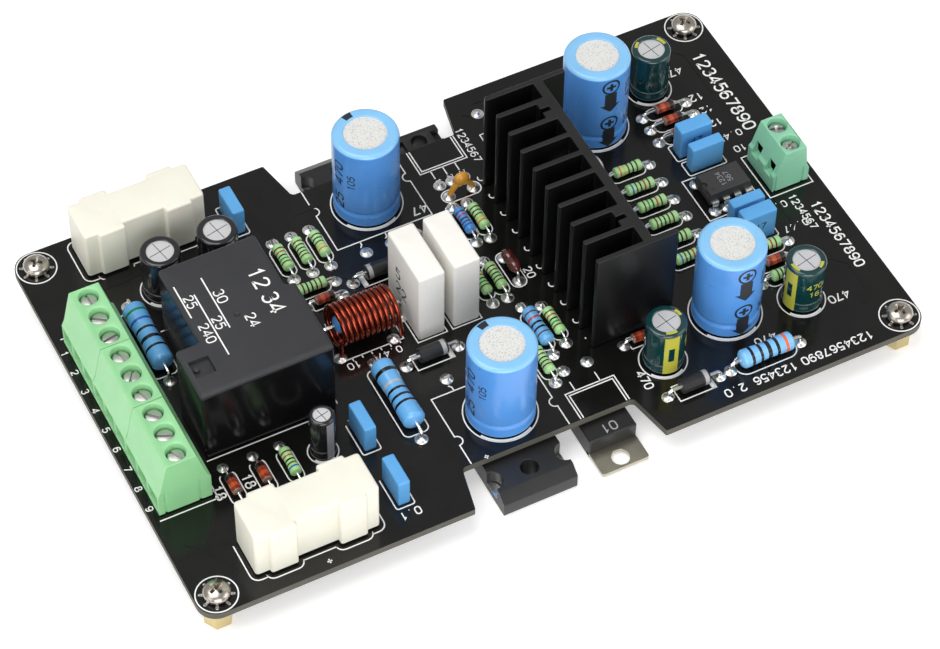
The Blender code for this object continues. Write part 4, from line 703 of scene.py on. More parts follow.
COPPER_ENAMEL = Finish("winding_enamel", (0.30, 0.042, 0.015), 0.21, 0.92, drift=0.12, grain=0.1, coat=0.3)
ANODISED = Finish(
    "black_anodising", (0.004, 0.004, 0.0045), 0.32, drift=0.2, grain=0.4, stretch=(1, 1, 0.04),
    specular=0.35,
)
SAWN = Finish("sawn_face", (0.013, 0.013, 0.0125), 0.42, 0.2, drift=0.25, grain=0.9, stretch=(0.15, 1, 1))
TRIMMER_BLUE = Finish("trimmer_case", (0.02, 0.065, 0.42), 0.3, drift=0.06, grain=0.25)
MUSTARD = Finish("dipped_coating", (0.62, 0.29, 0.025), 0.3, drift=0.08, grain=0.3, coat=0.4)
MICA = Finish("brown_lacquer", (0.085, 0.016, 0.011), 0.14, drift=0.3, drift_scale=500, grain=0.3, coat=0.8)
CHIP_GREY = Finish("chip_case", (0.032, 0.031, 0.031), 0.48, drift=0.12, grain=0.8, grain_scale=4000)
FUSE_GLASS = Finish("fuse_tube", (0.92, 0.95, 0.95), 0.05, drift=0.02, grain=0.1, transmission=0.9)


@dataclass
class Layout:
    """Where the soldered parts stand, shared by the parts, their print and their solder."""

    top: float
    thickness: float = 1.6
    quarter_along_y: tuple = (
        (-28.7, 22.7), (-24.65, 22.7), (-20.75, 22.7), (-48.3, -22.6), (3.3, 0.1), (6.5, 0.1),
        (10.45, 15.1), (7.45, 15.3), (11.4, -14.9), (5.1, -22.5),
    )
    quarter_along_x: tuple = (
        (-26.8, 13.7), (42.7, 12.8), (42.7, 7.6), (42.7, 2.6), (42.7, -2.3), (42.7, -7.4),
        (42.7, -12.4), (57.6, -16.9), (57.6, -24.3),
    )
    blue_quarter: tuple = (7.45, 15.3)
    diodes_along_y: tuple = ((-59.9, -22.6), (-53.8, -22.6))
    diodes_along_x: tuple = ((57.5, 24.2), (57.5, 20.7), (57.5, 17.0), (57.5, -20.6))
    short_diodes: tuple = ((-25.7, 10.0), (24.8, -25.6))
    rectifiers: tuple = ((-13.05, -11.4, 1), (-13.2, 11.65, -1), (28.25, -40.25, 1))
    half_watt: tuple = (7.9, -14.9)
    one_watt: tuple = (44.1, -40.0)
    two_watt: tuple = ((-23.7, -18.0), (-60.4, 15.75))
    films_along_y: tuple = ((-33.2, -22.4), (-33.1, -36.4), (-33.2, 36.7))
    films_along_x: tuple = ((57.9, 8.3), (57.8, -8.2))
    wide_films: tuple = ((57.6, 13.0), (57.7, -12.5))
    black_cans: tuple = ((-52.4, 26.9), (-40.4, 26.9))
    slim_can: tuple = (-41.4, -22.3)
    cements: tuple = ((-10.8, 0.1), (-3.3, 0.1))
    dipped: tuple = (10.7, 23.2)
    mica: tuple = (10.4, 1.0)
    coil_pads: tuple = ((-31.1, 0.0), (-14.1, 0.0), (-29.0, -4.0), (-17.85, -4.2))
    power_ways: tuple = tuple(0.36 + (step - 4) * 5.08 for step in range(9))
    input_ways: tuple = (0.2 - 2.54, 0.2 + 2.54)

    @staticmethod
    def pairs(rows: Iterable[tuple]) -> list[tuple[float, float]]:
        """Two joints for each part: rows give the parts' places and the reach in X and in Y."""
        return [
            (place[0] + side * reach_x, place[1] + side * reach_y)
            for places, reach_x, reach_y in rows
            for place in places
            for side in SIDES
        ]

    def pads(self) -> Array:
        """Every soldered joint that shows on the upper side, as rows of x and y."""
        rows = (
            ((*self.quarter_along_y, *self.diodes_along_y), 0.0, 5.08),
            ((self.half_watt,), 0.0, 6.5),
            (self.two_watt, 0.0, 10.1),
            ((*self.quarter_along_x, *self.diodes_along_x), 5.08, 0.0),
            (self.short_diodes, 3.81, 0.0),
            (self.rectifiers, 5.6, 0.0),
            ((self.one_watt,), 7.7, 0.0),
            ((self.dipped,), 2.7, 0.0),
            ((self.mica,), 0.0, 3.2),
        )
        spots = [*self.pairs(rows), *self.coil_pads]
        spots += [(-7.6 + step * 5.45, side * 17.5) for side in SIDES for step in (-1, 0, 1)]
        spots += [(10.3 + step * 2.7, 26.6) for step in (-1, 0, 1)]
        spots += [(10.3 + step * 5.1, -25.8) for step in (-0.5, 0.5)]
        spots += [(57.4 + (step - 1.5) * 2.54, 0.1 + side * 3.9) for step in range(4) for side in SIDES]
        return np.array([*spots, (23.1, 40.4)])

    def hidden_pads(self) -> Array:
        """Joints of the parts that cover their own pads, seen only from below."""
        cans = ("blue_capacitor_1", "blue_capacitor_3", "blue_capacitor_4", "green_capacitor_1")
        rows = (
            (self.films_along_y, 0.0, 2.5),
            ((*self.films_along_x, *self.wide_films), 2.5, 0.0),
            ((*self.black_cans, self.slim_can), 0.0, 1.75),
            (self.cements, 0.0, 5.0),
            ([node_centre(name) for name in cans], 0.0, 2.5),
        )
        relay = [(-58.9, -10.0), (-58.9, -4.5), (-38.0, 12.0), (-53.0, 12.5), (-38.5, -10.5)]
        ways = [(-68.5, y) for y in self.power_ways] + [(70.0, y) for y in self.input_ways]
        return np.array([*self.pairs(rows), *relay, *ways])


@dataclass(frozen=True)
class Edge:
    """Rounding of a piece's sharp edges: width in millimetres, and angles in degrees."""

    width: float
    segments: int = 1
    angle: float = 40.0
    crease: float = 32.0


@dataclass
class Part:
    """Sub-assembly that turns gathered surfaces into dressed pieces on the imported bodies."""

    layout: Layout

    @property
    def deck(self) -> float:
        """Height of the board's upper face."""
        return self.layout.top

    def shape(self, name: str, surface: Surface, finishes: Iterable[Finish] = ()) -> Item:
        """Make an object from a surface, with its faces turned outwards.

        Args:
            name: Object name.
            surface: Shells of the piece.
            finishes: One finish for each material slot.

        Returns:
            The new object at the origin.
        """
        mesh = bpy.data.meshes.new(name)
        mesh.from_pydata((np.concatenate(surface.points) * MM).tolist(), [], surface.faces)
        for finish in finishes:
            mesh.materials.append(finish.material())
        mesh.polygons.foreach_set("material_index", np.concatenate(surface.slots))
        sizes = np.array([len(face) for face in surface.faces])
        paint = np.repeat(np.concatenate(surface.paints), sizes, axis=0)
        colours = np.column_stack([paint, np.ones(len(paint))]).ravel().astype(np.float32)
        mesh.color_attributes.new("paint", "FLOAT_COLOR", "CORNER").data.foreach_set("color", colours)
        tool = bmesh.new()
        tool.from_mesh(mesh)
        bmesh.ops.recalc_face_normals(tool, faces=tool.faces[:])
        tool.to_mesh(mesh)
        tool.free()
        mesh.shade_smooth()
        mesh.set_sharp_from_angle(angle=math.radians(32))
        item = bpy.data.objects.new(name, mesh)
        bpy.context.scene.collection.objects.link(item)
        return item

    def carve(self, item: Item, cutter: Surface) -> None:
        """Take the cutter's shells out of the piece and keep the result as its mesh."""
        tool = self.shape("cutter", cutter)
        modifier = item.modifiers.new("carve", "BOOLEAN")
        modifier.operation = "DIFFERENCE"
        modifier.solver = "EXACT"
        modifier.object = tool
        self.settle(item, 32.0)
        bpy.data.objects.remove(tool, do_unlink=True)

    def bevel(self, item: Item, edge: Edge) -> None:
        """Round the piece's sharp edges."""
        modifier = item.modifiers.new("edges", "BEVEL")
        modifier.width = edge.width * MM
        modifier.segments = edge.segments
        modifier.limit_method = "ANGLE"
        modifier.angle_limit = math.radians(edge.angle)
        self.settle(item, edge.crease)

    def settle(self, item: Item, crease: float) -> None:
        """Replace the piece's mesh by what its modifiers make of it."""
        bpy.context.view_layer.update()
        view = bpy.context.evaluated_depsgraph_get()
        mesh = bpy.data.meshes.new_from_object(item.evaluated_get(view))
        item.modifiers.clear()
        item.data = mesh
        mesh.shade_smooth()
        mesh.set_sharp_from_angle(angle=math.radians(crease))

    def add(
        self,
        name: str,
        surface: Surface,
        slot: str,
        *finishes: Finish,
        node: str = "",
        body: str = "board",
        cutters: Iterable[Surface] = (),
        edge: Edge | None = None,
    ) -> None:
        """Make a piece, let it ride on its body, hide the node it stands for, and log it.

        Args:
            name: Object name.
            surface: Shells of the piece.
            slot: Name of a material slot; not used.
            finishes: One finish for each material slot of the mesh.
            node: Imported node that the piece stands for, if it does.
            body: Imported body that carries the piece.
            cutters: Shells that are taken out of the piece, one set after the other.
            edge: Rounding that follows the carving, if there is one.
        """
        item = self.shape(name, surface, finishes)
        for cutter in cutters:
            self.carve(item, cutter)
        if edge:
            self.bevel(item, edge)
        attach(item, body)
        if node:
            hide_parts(node)
        log.info("%s: %d faces on %s", item.name, len(item.data.polygons), body)


@dataclass
class CircuitBoard(Part):
    """The laminate with its notches and holes, its tracks, its print and its solder."""

    length: float = 153.5
    width: float = 94.0
    corner_radius: float = 4.0
    notch: tuple[float, float] = (-19.9, 16.6)
    notch_depth: float = 9.5
    notch_splay: float = 2.0
    hole_inset: tuple[float, float] = (4.25, 4.2)
    hole_diameter: float = 3.4
    track_height: float = 0.04

    def outline(self) -> Array:
        """Rounded rectangle with a splayed notch in the front and the back edge."""
        half_x, half_y = self.length / 2, self.width / 2
        inner, radius = half_y - self.notch_depth, self.corner_radius
        left, right = self.notch
        front = [
            (-half_x, -half_y, radius), (left - self.notch_splay, -half_y, 0.3), (left, -inner, 1.0),
            (right, -inner, 1.0), (right + self.notch_splay, -half_y, 0.3), (half_x, -half_y, radius),
        ]
        return rounded(front + [(x, -y, r) for x, y, r in front[::-1]], 8)

    def corners(self) -> list[tuple[float, float]]:
        """Centres of the four mounting holes."""
        x, y = self.length / 2 - self.hole_inset[0], self.width / 2 - self.hole_inset[1]
        return [(sx * x, sy * y) for sx in SIDES for sy in SIDES]

    def build_laminate(self) -> None:
        """The board itself, with drilled corners."""
        holes = [circle(place, self.hole_diameter / 2, 40) for place in self.corners()]
        top = self.deck
        surface = Surface().plate(self.outline(), holes, top - self.layout.thickness, top, side_slot=1)
        self.add("board_laminate", surface, "board_mask", MASK, FIBRE, node=BOARD)

    def track_routes(self) -> list[tuple[float, list[tuple[float, float]]]]:
        """Width and corner points of the copper tracks that show through the mask."""
        return [
            (2.4, [(-66, -34), (-60, -28), (-42, -28), (-38, -32), (-28, -32)]),
            (2.4, [(-66, 33), (-58, 33), (-52, 34), (-46, 34)]),
            (3.2, [(-62, -17.5), (-36, -17.5), (-32, -13.5), (-32, -7)]),
            (0.8, [(-44, -18.5), (-30, -18.5), (-27, -15.5), (-27, -8)]),
            (1.2, [(-28.7, 27.8), (-28.7, 38), (-25, 42)]),
            (1.2, [(-24, 31), (-22, 33), (-16, 33)]),
            (2.0, [(21, -45), (23, -42.6), (23, -41)]),
            (0.7, [(31, -36), (35, -40), (36.4, -40)]),
            (0.7, [(14, -20), (20, -26), (20.9, -26)]),
            (0.7, [(62.6, -16.9), (66, -13.5), (66, -6)]),
            (0.7, [(62.6, -24.3), (68, -24.3), (70.5, -27), (70.5, -34), (68, -37)]),
            (0.7, [(47.8, -12.4), (51, -15.6), (51, -30)]),
            (0.7, [(47.8, 12.8), (50, 15), (50, 22), (52.4, 24.2)]),
            (0.7, [(62.6, 20.7), (66, 20.7), (69, 24), (69, 36), (64, 41)]),
            (1.0, [(35, 41), (60, 41), (63, 38), (63, 33)]),
            (0.7, [(-20.8, 17.6), (-20.8, 15), (-18, 12.2)]),
            (1.6, [(20.6, 41), (23, 44), (62, 44)]),
            (1.0, [(-73, -30), (-70, -33), (-66, -40)]),
            (0.7, [(28, -20), (34, -14), (36, -12.4)]),
            (0.7, [(33, 26), (35, 28), (35.6, 33)]),
        ]

    def build_tracks(self) -> None:
        """Low ridges on both sides where the mask covers copper."""
        surface = Surface()
        above = flat_map((0.0, 0.0), self.deck)
        below = flat_map((0.0, 0.0), self.deck - self.layout.thickness)
        for index, (width, points) in enumerate(self.track_routes()):
            rise = self.track_height + 0.003 * index
            Ink(surface, above, height=rise, sink=0.3).stroke(points, width=width)
            Ink(surface, below, height=0.3, sink=rise).stroke(np.array(points) * [0.93, -0.9], width=width)
        self.add("mask_ridges", surface, "board_mask", MASK)

    def build_solder(self) -> None:
        """Shiny joints on both sides: a flat ring, a hollow-sided cone and the clipped lead."""
        surface = Surface()
        top = self.deck
        random = np.random.default_rng(7)
        ring = [(1.3, -0.02), (1.3, 0.035), (0.55, 0.045)]
        cone = [(1.2, 0.02), (1.08, 0.14), (0.85, 0.26), (0.6, 0.4), (0.42, 0.6), (0.3, 0.72), (0.12, 0.76)]
        radius, height = np.array(cone).T[..., None, None]
        for x, y in self.layout.pads():
            swell = random.uniform(0.92, 1.12)
            lean = random.uniform(-0.12, 0.12, 2)
            surface.lathe(ring, (x, y, top), 24)
            flat = swell * radius * circle((0.0, 0.0), 1.0, 20) + height / height.max() * lean + (x, y)
            level = np.broadcast_to(top + height, (len(cone), 20, 1))
            surface.skin(np.concatenate([flat, level], axis=-1))
        drop = [(0.12, -0.8), (0.32, -0.76), (0.45, -0.5), (0.7, -0.25), (1.0, -0.12), (1.15, 0.02)]
        for x, y in np.concatenate([self.layout.pads(), self.layout.hidden_pads()]):
            surface.lathe(drop, (x, y, top - self.layout.thickness), 14)
        for place in self.corners():
            self.add_corner_tabs(surface, place)
        self.add("solder_joints", surface, "zinc", SOLDER, node=BOARD)

    def add_corner_tabs(self, surface: Surface, place: Place) -> None:
        """Eight short tinned spokes with round ends about a mounting screw."""
        for step in range(8):
            spoke = flat_map(place, self.deck, 22.5 + 45.0 * step)
            Ink(surface, spoke, height=0.05, sink=0.02).stroke([(2.2, 0.0), (3.15, 0.0)], width=0.55)
            surface.lathe([(0.27, -0.02), (0.27, 0.05)], spoke(np.array([3.15, 0.0]), 0.0), 12)

    def build(self) -> None:
        """Every part of the bare board."""
        self.build_laminate()
        self.build_tracks()
        self.build_solder()


@dataclass
class Silkscreen(Part):
    """White print on the board: outlines, pin marks and plain numbers."""

    corners: list[tuple[float, float]]
    line: float = 0.25

    def draw_boxes(self, ink: Ink) -> None:
        """Outlines round the parts: places, half sizes and corner radius of each kind."""
        lay = self.layout
        boxes = (
            ((*lay.quarter_along_y, *lay.diodes_along_y), 1.6, 4.0, 1.5),
            ((*lay.quarter_along_x, *lay.diodes_along_x), 4.0, 1.6, 1.5),
            (lay.short_diodes, 2.7, 1.4, 0.3),
            ((lay.half_watt,), 1.7, 5.1, 1.6),
            ((lay.one_watt,), 6.6, 2.3, 2.2),
            (lay.two_watt, 2.6, 8.7, 1.2),
            ((lay.dipped,), 4.2, 1.6, 1.5),
            ((lay.mica,), 1.6, 4.7, 1.5),
            (lay.rectifiers, 3.9, 1.9, 0.0),
            (lay.films_along_y, 1.9, 4.3, 0.5),
            (lay.films_along_x, 4.3, 1.9, 0.5),
            (lay.wide_films, 4.3, 2.2, 0.5),
            ([(x - 0.05, y) for x, y in lay.cements], 3.15, 7.3, 0.0),
            (((-22.05, 0.0),), 6.05, 4.9, 0.0),
            (((57.4, 0.1),), 6.0, 5.7, 0.0),
            (((26.15, 32.2),), 5.25, 2.9, 0.0),
            (((70.1, 0.2),), 4.9, 5.9, 0.0),
        )
        for places, half_x, half_y, radius in boxes:
            for place in places:
                ink.outline(place[0], place[1], half_x, half_y, radius)
        for x, y, side in lay.rectifiers:
            ink.block(x + side * 3.0, x + side * 3.9, y - 1.9, y + 1.9, 1)

    def draw_lines(self, ink: Ink) -> None:
        """Lines beside the coil, the relay, the terminals and the heatsink's fins."""
        for step in range(6):
            ink.stroke([(-27.0 + 2.0 * step, -5.7), (-27.0 + 2.0 * step, -4.9)])
        ink.stroke([(-61.9, -14.8), (-33.8, -14.8)])
        ink.stroke([(-34.2, -14.8), (-34.2, 17.4), (-57.2, 17.4)])
        ink.stroke([(-63.4, -23.6), (-63.4, 23.9)])
        for y in (-23.4, 24.2):
            ink.stroke([(-75.2, y), (-63.4, y)])
        for step in range(10):
            y = (step - 4.5) * 5.08 + 1.9
            ink.stroke([*arc((15.9, y), 0.7, 130, 270), (17.6, y - 0.7)])

    def draw_rings(self, ink: Ink) -> None:
        """Rings round the cans with a half moon on the negative side, round the screws and the fuses."""
        rings = [(node_centre(f"blue_capacitor_{n}"), 7.2) for n in (1, 2, 3, 4)]
        rings += [(node_centre(f"green_capacitor_{n}"), 4.7) for n in (1, 2, 3)]
        rings += [(place, 4.5) for place in self.layout.black_cans] + [(self.layout.slim_can, 2.95)]
        for centre, radius in rings:
            ink.stroke(circle(centre[:2], radius, 72), closed=True)
            ink.stroke(arc(centre[:2], radius - 0.3, -150, -60, 24), width=0.5)
        for place in self.corners:
            ink.stroke(circle(place, 3.95, 64), closed=True)
        for name in ("fuse_cover_1", "fuse_cover_2"):
            ink.stroke(FuseHolder.plan(node_centre(name)).outline(-0.95), closed=True)

    def draw_transistors(self, ink: Ink) -> None:
        """Outlines above the parts that hang under the notches, with their pin ticks."""
        left, right = (-17.9, 31.5), (2.9, 31.5)
        turns = [*arc(left, 1.1, 90, -90), (-17.9, 20.6), (2.9, 20.6), *arc(right, 1.1, 270, 90)]
        paths = [[(-17.9, 37.4), *turns, (2.9, 37.4)]]
        for x in (-13.05, -7.6, -2.15):
            paths.append([(x, 20.6), (x, 19.7), (x - 0.5, 19.1)])
        for shift in (0.0, 0.6):
            near, far, low = 5.4 + shift, 15.9 - shift, 30.9 + shift
            paths.append([(near, 37.3), (near, low), (far, low), (far, 37.3)])
        for x in (7.6, 13.0, 10.3):
            paths.append([(x, 30.9), (x, 28.6)])
        for path in paths:
            ink.stroke(path)
        for path in paths[:-1]:
            ink.stroke(np.array(path) * [1, -1])

    def draw_numbers(self, surface: Surface) -> None:
        """Plain numbers and signs beside the parts: size, angle, and each text with its place."""
        labels = (
            (1.7, 180.0, (
                ("470", 46.3, -36.3), ("470", 64.4, -33.6), ("470", 64.0, 32.6), ("12", 65.2, 24.6),
                ("30", 7.2, 20.0), ("1234567890", 57.6, -44.3), ("123456", 43.8, -44.4),
                ("2.0", 35.0, -44.5),
            )),
            (1.7, -90.0, (("470", 20.7, -34.6),)),
            (1.9, -90.0, (("18", -56.8, -22.4), ("18", -62.8, -22.4))),
            (1.9, 180.0, (("47", 1.2, 22.8),)),
            (1.6, -90.0, (("20", 13.3, -1.2),)),
            (1.6, 180.0, (("+", -51.0, -45.4), ("-", -51.0, 33.0), ("0.1", -33.0, -42.4))),
            (1.5, 180.0, (
                ("0.47", 66.2, -14.2), ("0.1", 65.4, -8.2), ("10", 66.4, 8.6), ("+", -14.6, -37.2),
                ("12", 65.4, 20.8), ("12", 65.4, 16.8), ("10", -27.4, -6.6), ("0.47", 66.2, 12.4),
            )),
            (1.5, -90.0, (("1234567", 69.2, -11.6), ("1234567", 17.6, 33.8))),
            (1.0, 180.0, (("1", -2.2, 19.0),)),
            (1.4, 180.0, (("0.47", -19.9, -6.9),)),
            (2.5, -90.0, (("1234567890", 71.1, 23.6),)),
            (2.0, -90.0, (("1234567890", 72.4, -19.6),)),
            (1.35, -90.0, [(str(9 - step), -75.85, y) for step, y in enumerate(self.layout.power_ways)]),
            (1.0, -90.0, [(str(step + 1), 7.9 + 2.7 * step, 28.0) for step in range(3)]),
        )
        for size, angle, texts in labels:
            for text, x, y in texts:
                Ink(surface, flat_map((x, y), self.deck, angle)).number(text, size)

    def build(self) -> None:
        """All the print as one piece."""
        surface = Surface()
        ink = Ink(surface, flat_map((0.0, 0.0), self.deck), width=self.line)
        self.draw_boxes(ink)
        self.draw_lines(ink)
        self.draw_rings(ink)
        self.draw_transistors(ink)
        self.draw_numbers(surface)
        self.add("white_board_print", surface, "board_mask", SILK)


@dataclass
class Hardware(Part):
    """Brass standoffs and the pan-head screws that hold the board on them."""

    flats: float = 5.0
    bore: float = 3.3
    head_radius: float = 2.65
    head_height: float = 1.9

    def build_standoff(self, number: int) -> None:
        """A hexagonal spacer with chamfered ends and a bore."""
        name = f"standoff_{number}"
        low, high = node_box(name)
        cx, cy, _ = node_centre(name)
        hexagon = circle((cx, cy), self.flats / math.sqrt(3), 6)
        surface = Surface().stack(hexagon, eased(low[2], high[2], 0.3, 0.3))
        drill = Surface().lathe([(self.bore / 2, -1.0), (self.bore / 2, 10.0)], (cx, cy))
        self.add(f"brass_spacer_{number}", surface, "brass", BRASS, node=name, cutters=(drill,))

    def build_screw(self, number: int, angle: float) -> None:
        """A pan-head screw with a tapered cross recess."""
        name = f"board_screw_{number}"
        low, high = node_box(name)
        cx, cy, _ = node_centre(name)
        seat, head = high[2] - self.head_height, self.head_radius
        profile = [(0.4, low[2]), (1.3, low[2] + 0.5), (1.35, seat), (head - 0.15, seat)]
        profile += [(head, seat + 0.15), *dome(head, seat + 0.55, self.head_height - 0.55)]
        surface = Surface().lathe(profile, (cx, cy), 40)
        cross = self.cross((cx, cy), high[2], angle)
        title = f"pan_head_screw_{number}"
        self.add(title, surface, "zinc", WARM_NICKEL, node=name, cutters=(cross,), edge=Edge(0.06))

    @staticmethod
    def cross(place: Place, top: float, angle: float, reach: float = 1.5, depth: float = 1.3) -> Surface:
        """Cutter of a cross recess: a plus-shaped plan that narrows with depth."""
        half = 0.34
        plan = [(reach, half), (half, half), (half, reach), (-half, reach), (-half, half), (-reach, half)]
        base = np.array(plan + [(-x, -y) for x, y in plan])
        rings = []
        for scale, z in ((0.35, top - depth), (1.0, top - 0.1), (1.1, top + 0.6)):
            flat = (base * scale) @ spin(angle) + place
            rings.append(np.column_stack([flat, np.full(len(flat), z)]))
        return Surface().skin(np.array(rings))

    def build(self) -> None:
        """Four spacers and four screws."""
        for number, angle in enumerate((20.0, 52.0, 8.0, 35.0), start=1):
            self.build_standoff(number)
            self.build_screw(number, angle)


class BlockKind(Enum):
    """The two kinds of terminal block."""

    POWER = "power"
    INPUT = "input"


@dataclass(frozen=True)
class BlockSizes:
    """Sizes that differ between the two kinds of terminal block."""

    face: float
    inward: int
    depth: float
    top_inset: float
    top_depth: float
    shoulder: float
    height: float
    margin: float
    back_reach: float
    gauge: float
    grooves: tuple[float, float]


BLOCK_SIZES = {
    BlockKind.POWER: BlockSizes(-74.9, 1, 10.8, 2.2, 6.1, 7.0, 14.1, 0.6, 1.4, 0.8, (0.14, 0.78)),
    BlockKind.INPUT: BlockSizes(74.3, -1, 8.3, 1.2, 4.8, 5.2, 10.65, 0.0, 0.7, 0.35, (0.18, 0.93)),
}


@dataclass
class TerminalBlock(Part):
    """A moulded screw terminal with its captive screws, cages and wire entries."""

    kind: BlockKind
    pitch: float = 5.08
    bore_radius: float = 1.95
    pocket_width: float = 4.3
    roof: float = 3.4
    head_radius: float = 1.62
    slot_width: float = 0.55
    parting: float = 0.06

    def __post_init__(self) -> None:
        """Look up the kind's sizes, the screws' X and half the width of a pocket."""
        self.power = self.kind is BlockKind.POWER
        self.size = size = BLOCK_SIZES[self.kind]
        self.screw_x = size.face + size.inward * (size.top_inset + size.top_depth / 2)
        self.half = size.top_depth / 2 - size.margin

    def profile(self) -> Array:
        """End section in X and Z with eased corners, counter-clockwise."""
        size, base = self.size, self.deck
        step, top = base + size.shoulder, base + size.height
        corners = [
            (0.0, base + 0.3, 0.15), (0.0, step - 1.4, 0.25), (0.6, step, 0.25), (size.top_inset, top, 0.3),
            (size.top_inset + size.top_depth, top, 0.25), (size.depth - 0.6, step, 0.2),
            (size.depth, step - 0.6, 0.2), (size.depth, base + 0.3, 0.15),
        ]
        points = [(size.face + size.inward * x, z, r) for x, z, r in corners]
        return rounded(points[:: -size.inward])

    def cutters(self, ways: Place) -> list[Surface]:
        """Pockets, screw bores and wire mouths, each as one set of separate shells."""
        size, base, x = self.size, self.deck, self.screw_x
        front = x - size.inward * (self.half + 0.3)
        near, far = sorted((front, x + size.inward * (self.half + size.back_reach)))
        low, high = sorted((size.face - size.inward, front + size.inward * 0.5))
        top, roof = base + size.height, base + size.height - self.roof
        reach, bore = self.pocket_width / 2, self.bore_radius
        pockets, bores, mouths = Surface(), Surface(), Surface()
        for y in ways:
            pockets.stack(rectangle(near, far, y - reach, y + reach), [(0, base - 1.0), (0, roof)])
            wall = [(bore, roof - 0.5), (bore, top - 0.15), (bore + 0.15, top), (bore + 0.15, top + 1.0)]
            bores.lathe(wall, (x, y), 40)
            entry = rectangle(y - reach + 0.1, y + reach - 0.1, base + 1.0, base + size.shoulder - 1.6, 0.5)
            mouths.stack(entry, [(0, low), (0, high)], Axis.X)
        return [pockets, bores, mouths]

    def end_grooves(self, y0: float, y1: float) -> Surface:
        """Upright slots in both end faces."""
        size, base = self.size, self.deck
        surface = Surface()
        for y, side in ((y0, -1), (y1, 1)):
            for share in size.grooves:
                x = size.face + size.inward * size.depth * share
                low, high = sorted((y + side * 0.5, y - side * 0.22))
                levels = [(0, base - 1.0), (0, base + size.shoulder - 0.5)]
                surface.stack(rectangle(x - 0.22, x + 0.22, low, high), levels)
        return surface

    def back_windows(self, ways: Place) -> list[Surface]:
        """A shallow square recess in the inner face at each way, and the opening at its back."""
        size, base = self.size, self.deck
        inner = size.face + size.inward * size.depth
        cutters = []
        for half, low, high, deep in ((1.15, 3.5, 6.7, 1.3), (0.75, 4.3, 6.4, 2.4)):
            levels = [(0, x) for x in sorted((inner + size.inward * 0.5, inner - size.inward * deep))]
            surface = Surface()
            for y in ways:
                surface.stack(rectangle(y - half, y + half, base + low, base + high, 0.1), levels, Axis.X)
            cutters.append(surface)
        return cutters

    def build_housing(self, name: str, title: str, ways: Place) -> None:
        """One moulding: the section drawn along Y, then carved and eased."""
        y0, y1 = ways[0] - self.pitch / 2 + self.parting, ways[-1] + self.pitch / 2 - self.parting
        surface = Surface().prism(self.profile(), y0, y1, Axis.Y)
        cutters = [*self.cutters(ways), self.end_grooves(y0, y1)]
        if not self.power:
            cutters += self.back_windows(ways)
        slot, finish = ("mint_plastic", MINT) if self.power else ("jade_plastic", JADE)
        self.add(title, surface, slot, finish, node=name, cutters=cutters, edge=Edge(0.09, crease=25.0))

    def build_screw(self, number: int, angle: float) -> None:
        """A slotted captive screw with an eased rim, turned to its own angle."""
        node = f"{self.kind.value}_screw_{number}"
        low, high = node_box(node)
        cx, cy, _ = node_centre(node)
        top, head = high[2], self.head_radius
        profile = [(0.8, low[2]), (1.1, low[2] + 0.3), (1.1, top - 1.6), (head, top - 1.6)]
        profile += [(head, top - 0.22), (head - 0.07, top - 0.07), (head - 0.22, top)]
        surface = Surface().lathe(profile, (cx, cy), 36)
        half = self.slot_width / 2
        plan = np.array([(-2.5, -half), (2.5, -half), (2.5, half), (-2.5, half)]) @ spin(angle)
        cutters = [Surface().stack(plan + np.array([cx, cy]), [(0.03, top - 0.75), (-0.02, top + 0.5)])]
        if not self.power:
            cutters.append(Hardware.cross((cx, cy), top, angle, 0.95, 0.8))
        title = f"{self.kind.value}_clamp_screw_{number}"
        self.add(title, surface, "zinc", ZINC, node=node, body=node, cutters=cutters, edge=Edge(0.05))

    def build_contacts(self, ways: Place) -> None:
        """Bent tongues that reach from the board into the cages."""
        inward, base = self.size.inward, self.deck
        under = base + 0.3 + 0.6 + 2.0 + 0.3
        back, tip = self.screw_x + inward * (self.half + 0.3), self.screw_x - inward * self.half / 2
        rear = back + inward * self.size.gauge
        corners = [
            (tip, under, 0.1), (tip, under + 0.8, 0.1), (rear, under + 0.8, 0.3),
            (rear, base - 0.8, 0.05), (back, base - 0.8, 0.05), (back, under, 0.1),
        ]
        section = rounded(corners[::-inward], 3)
        surface = Surface()
        for y in ways:
            surface.prism(section, y - 0.9, y + 0.9, Axis.Y)
        self.add(f"{self.kind.value}_contacts", surface, "zinc", TINNED, node=BOARD)

    def build(self) -> None:
        """Housings, screws, contacts, and the cages' finish."""
        if self.power:
            ways, angles = self.layout.power_ways, (-60, -22, -45, -70, 55, -80, 10, -35, 95)
            for index in range(3):
                group = ways[index * 3 : index * 3 + 3]
                self.build_housing(f"power_terminal_{index + 1}", f"mint_housing_{index + 1}", group)
        else:
            ways, angles = self.layout.input_ways, (30, -20)
            self.build_housing("input_terminal", "jade_housing", ways)
        for number, angle in enumerate(angles, start=1):
            self.build_screw(number, angle)
            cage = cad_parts[f"{self.kind.value}_cage_{number}"]
            cage.data.materials.clear()
            cage.data.materials.append(BRASS.material())
        self.build_contacts(ways)


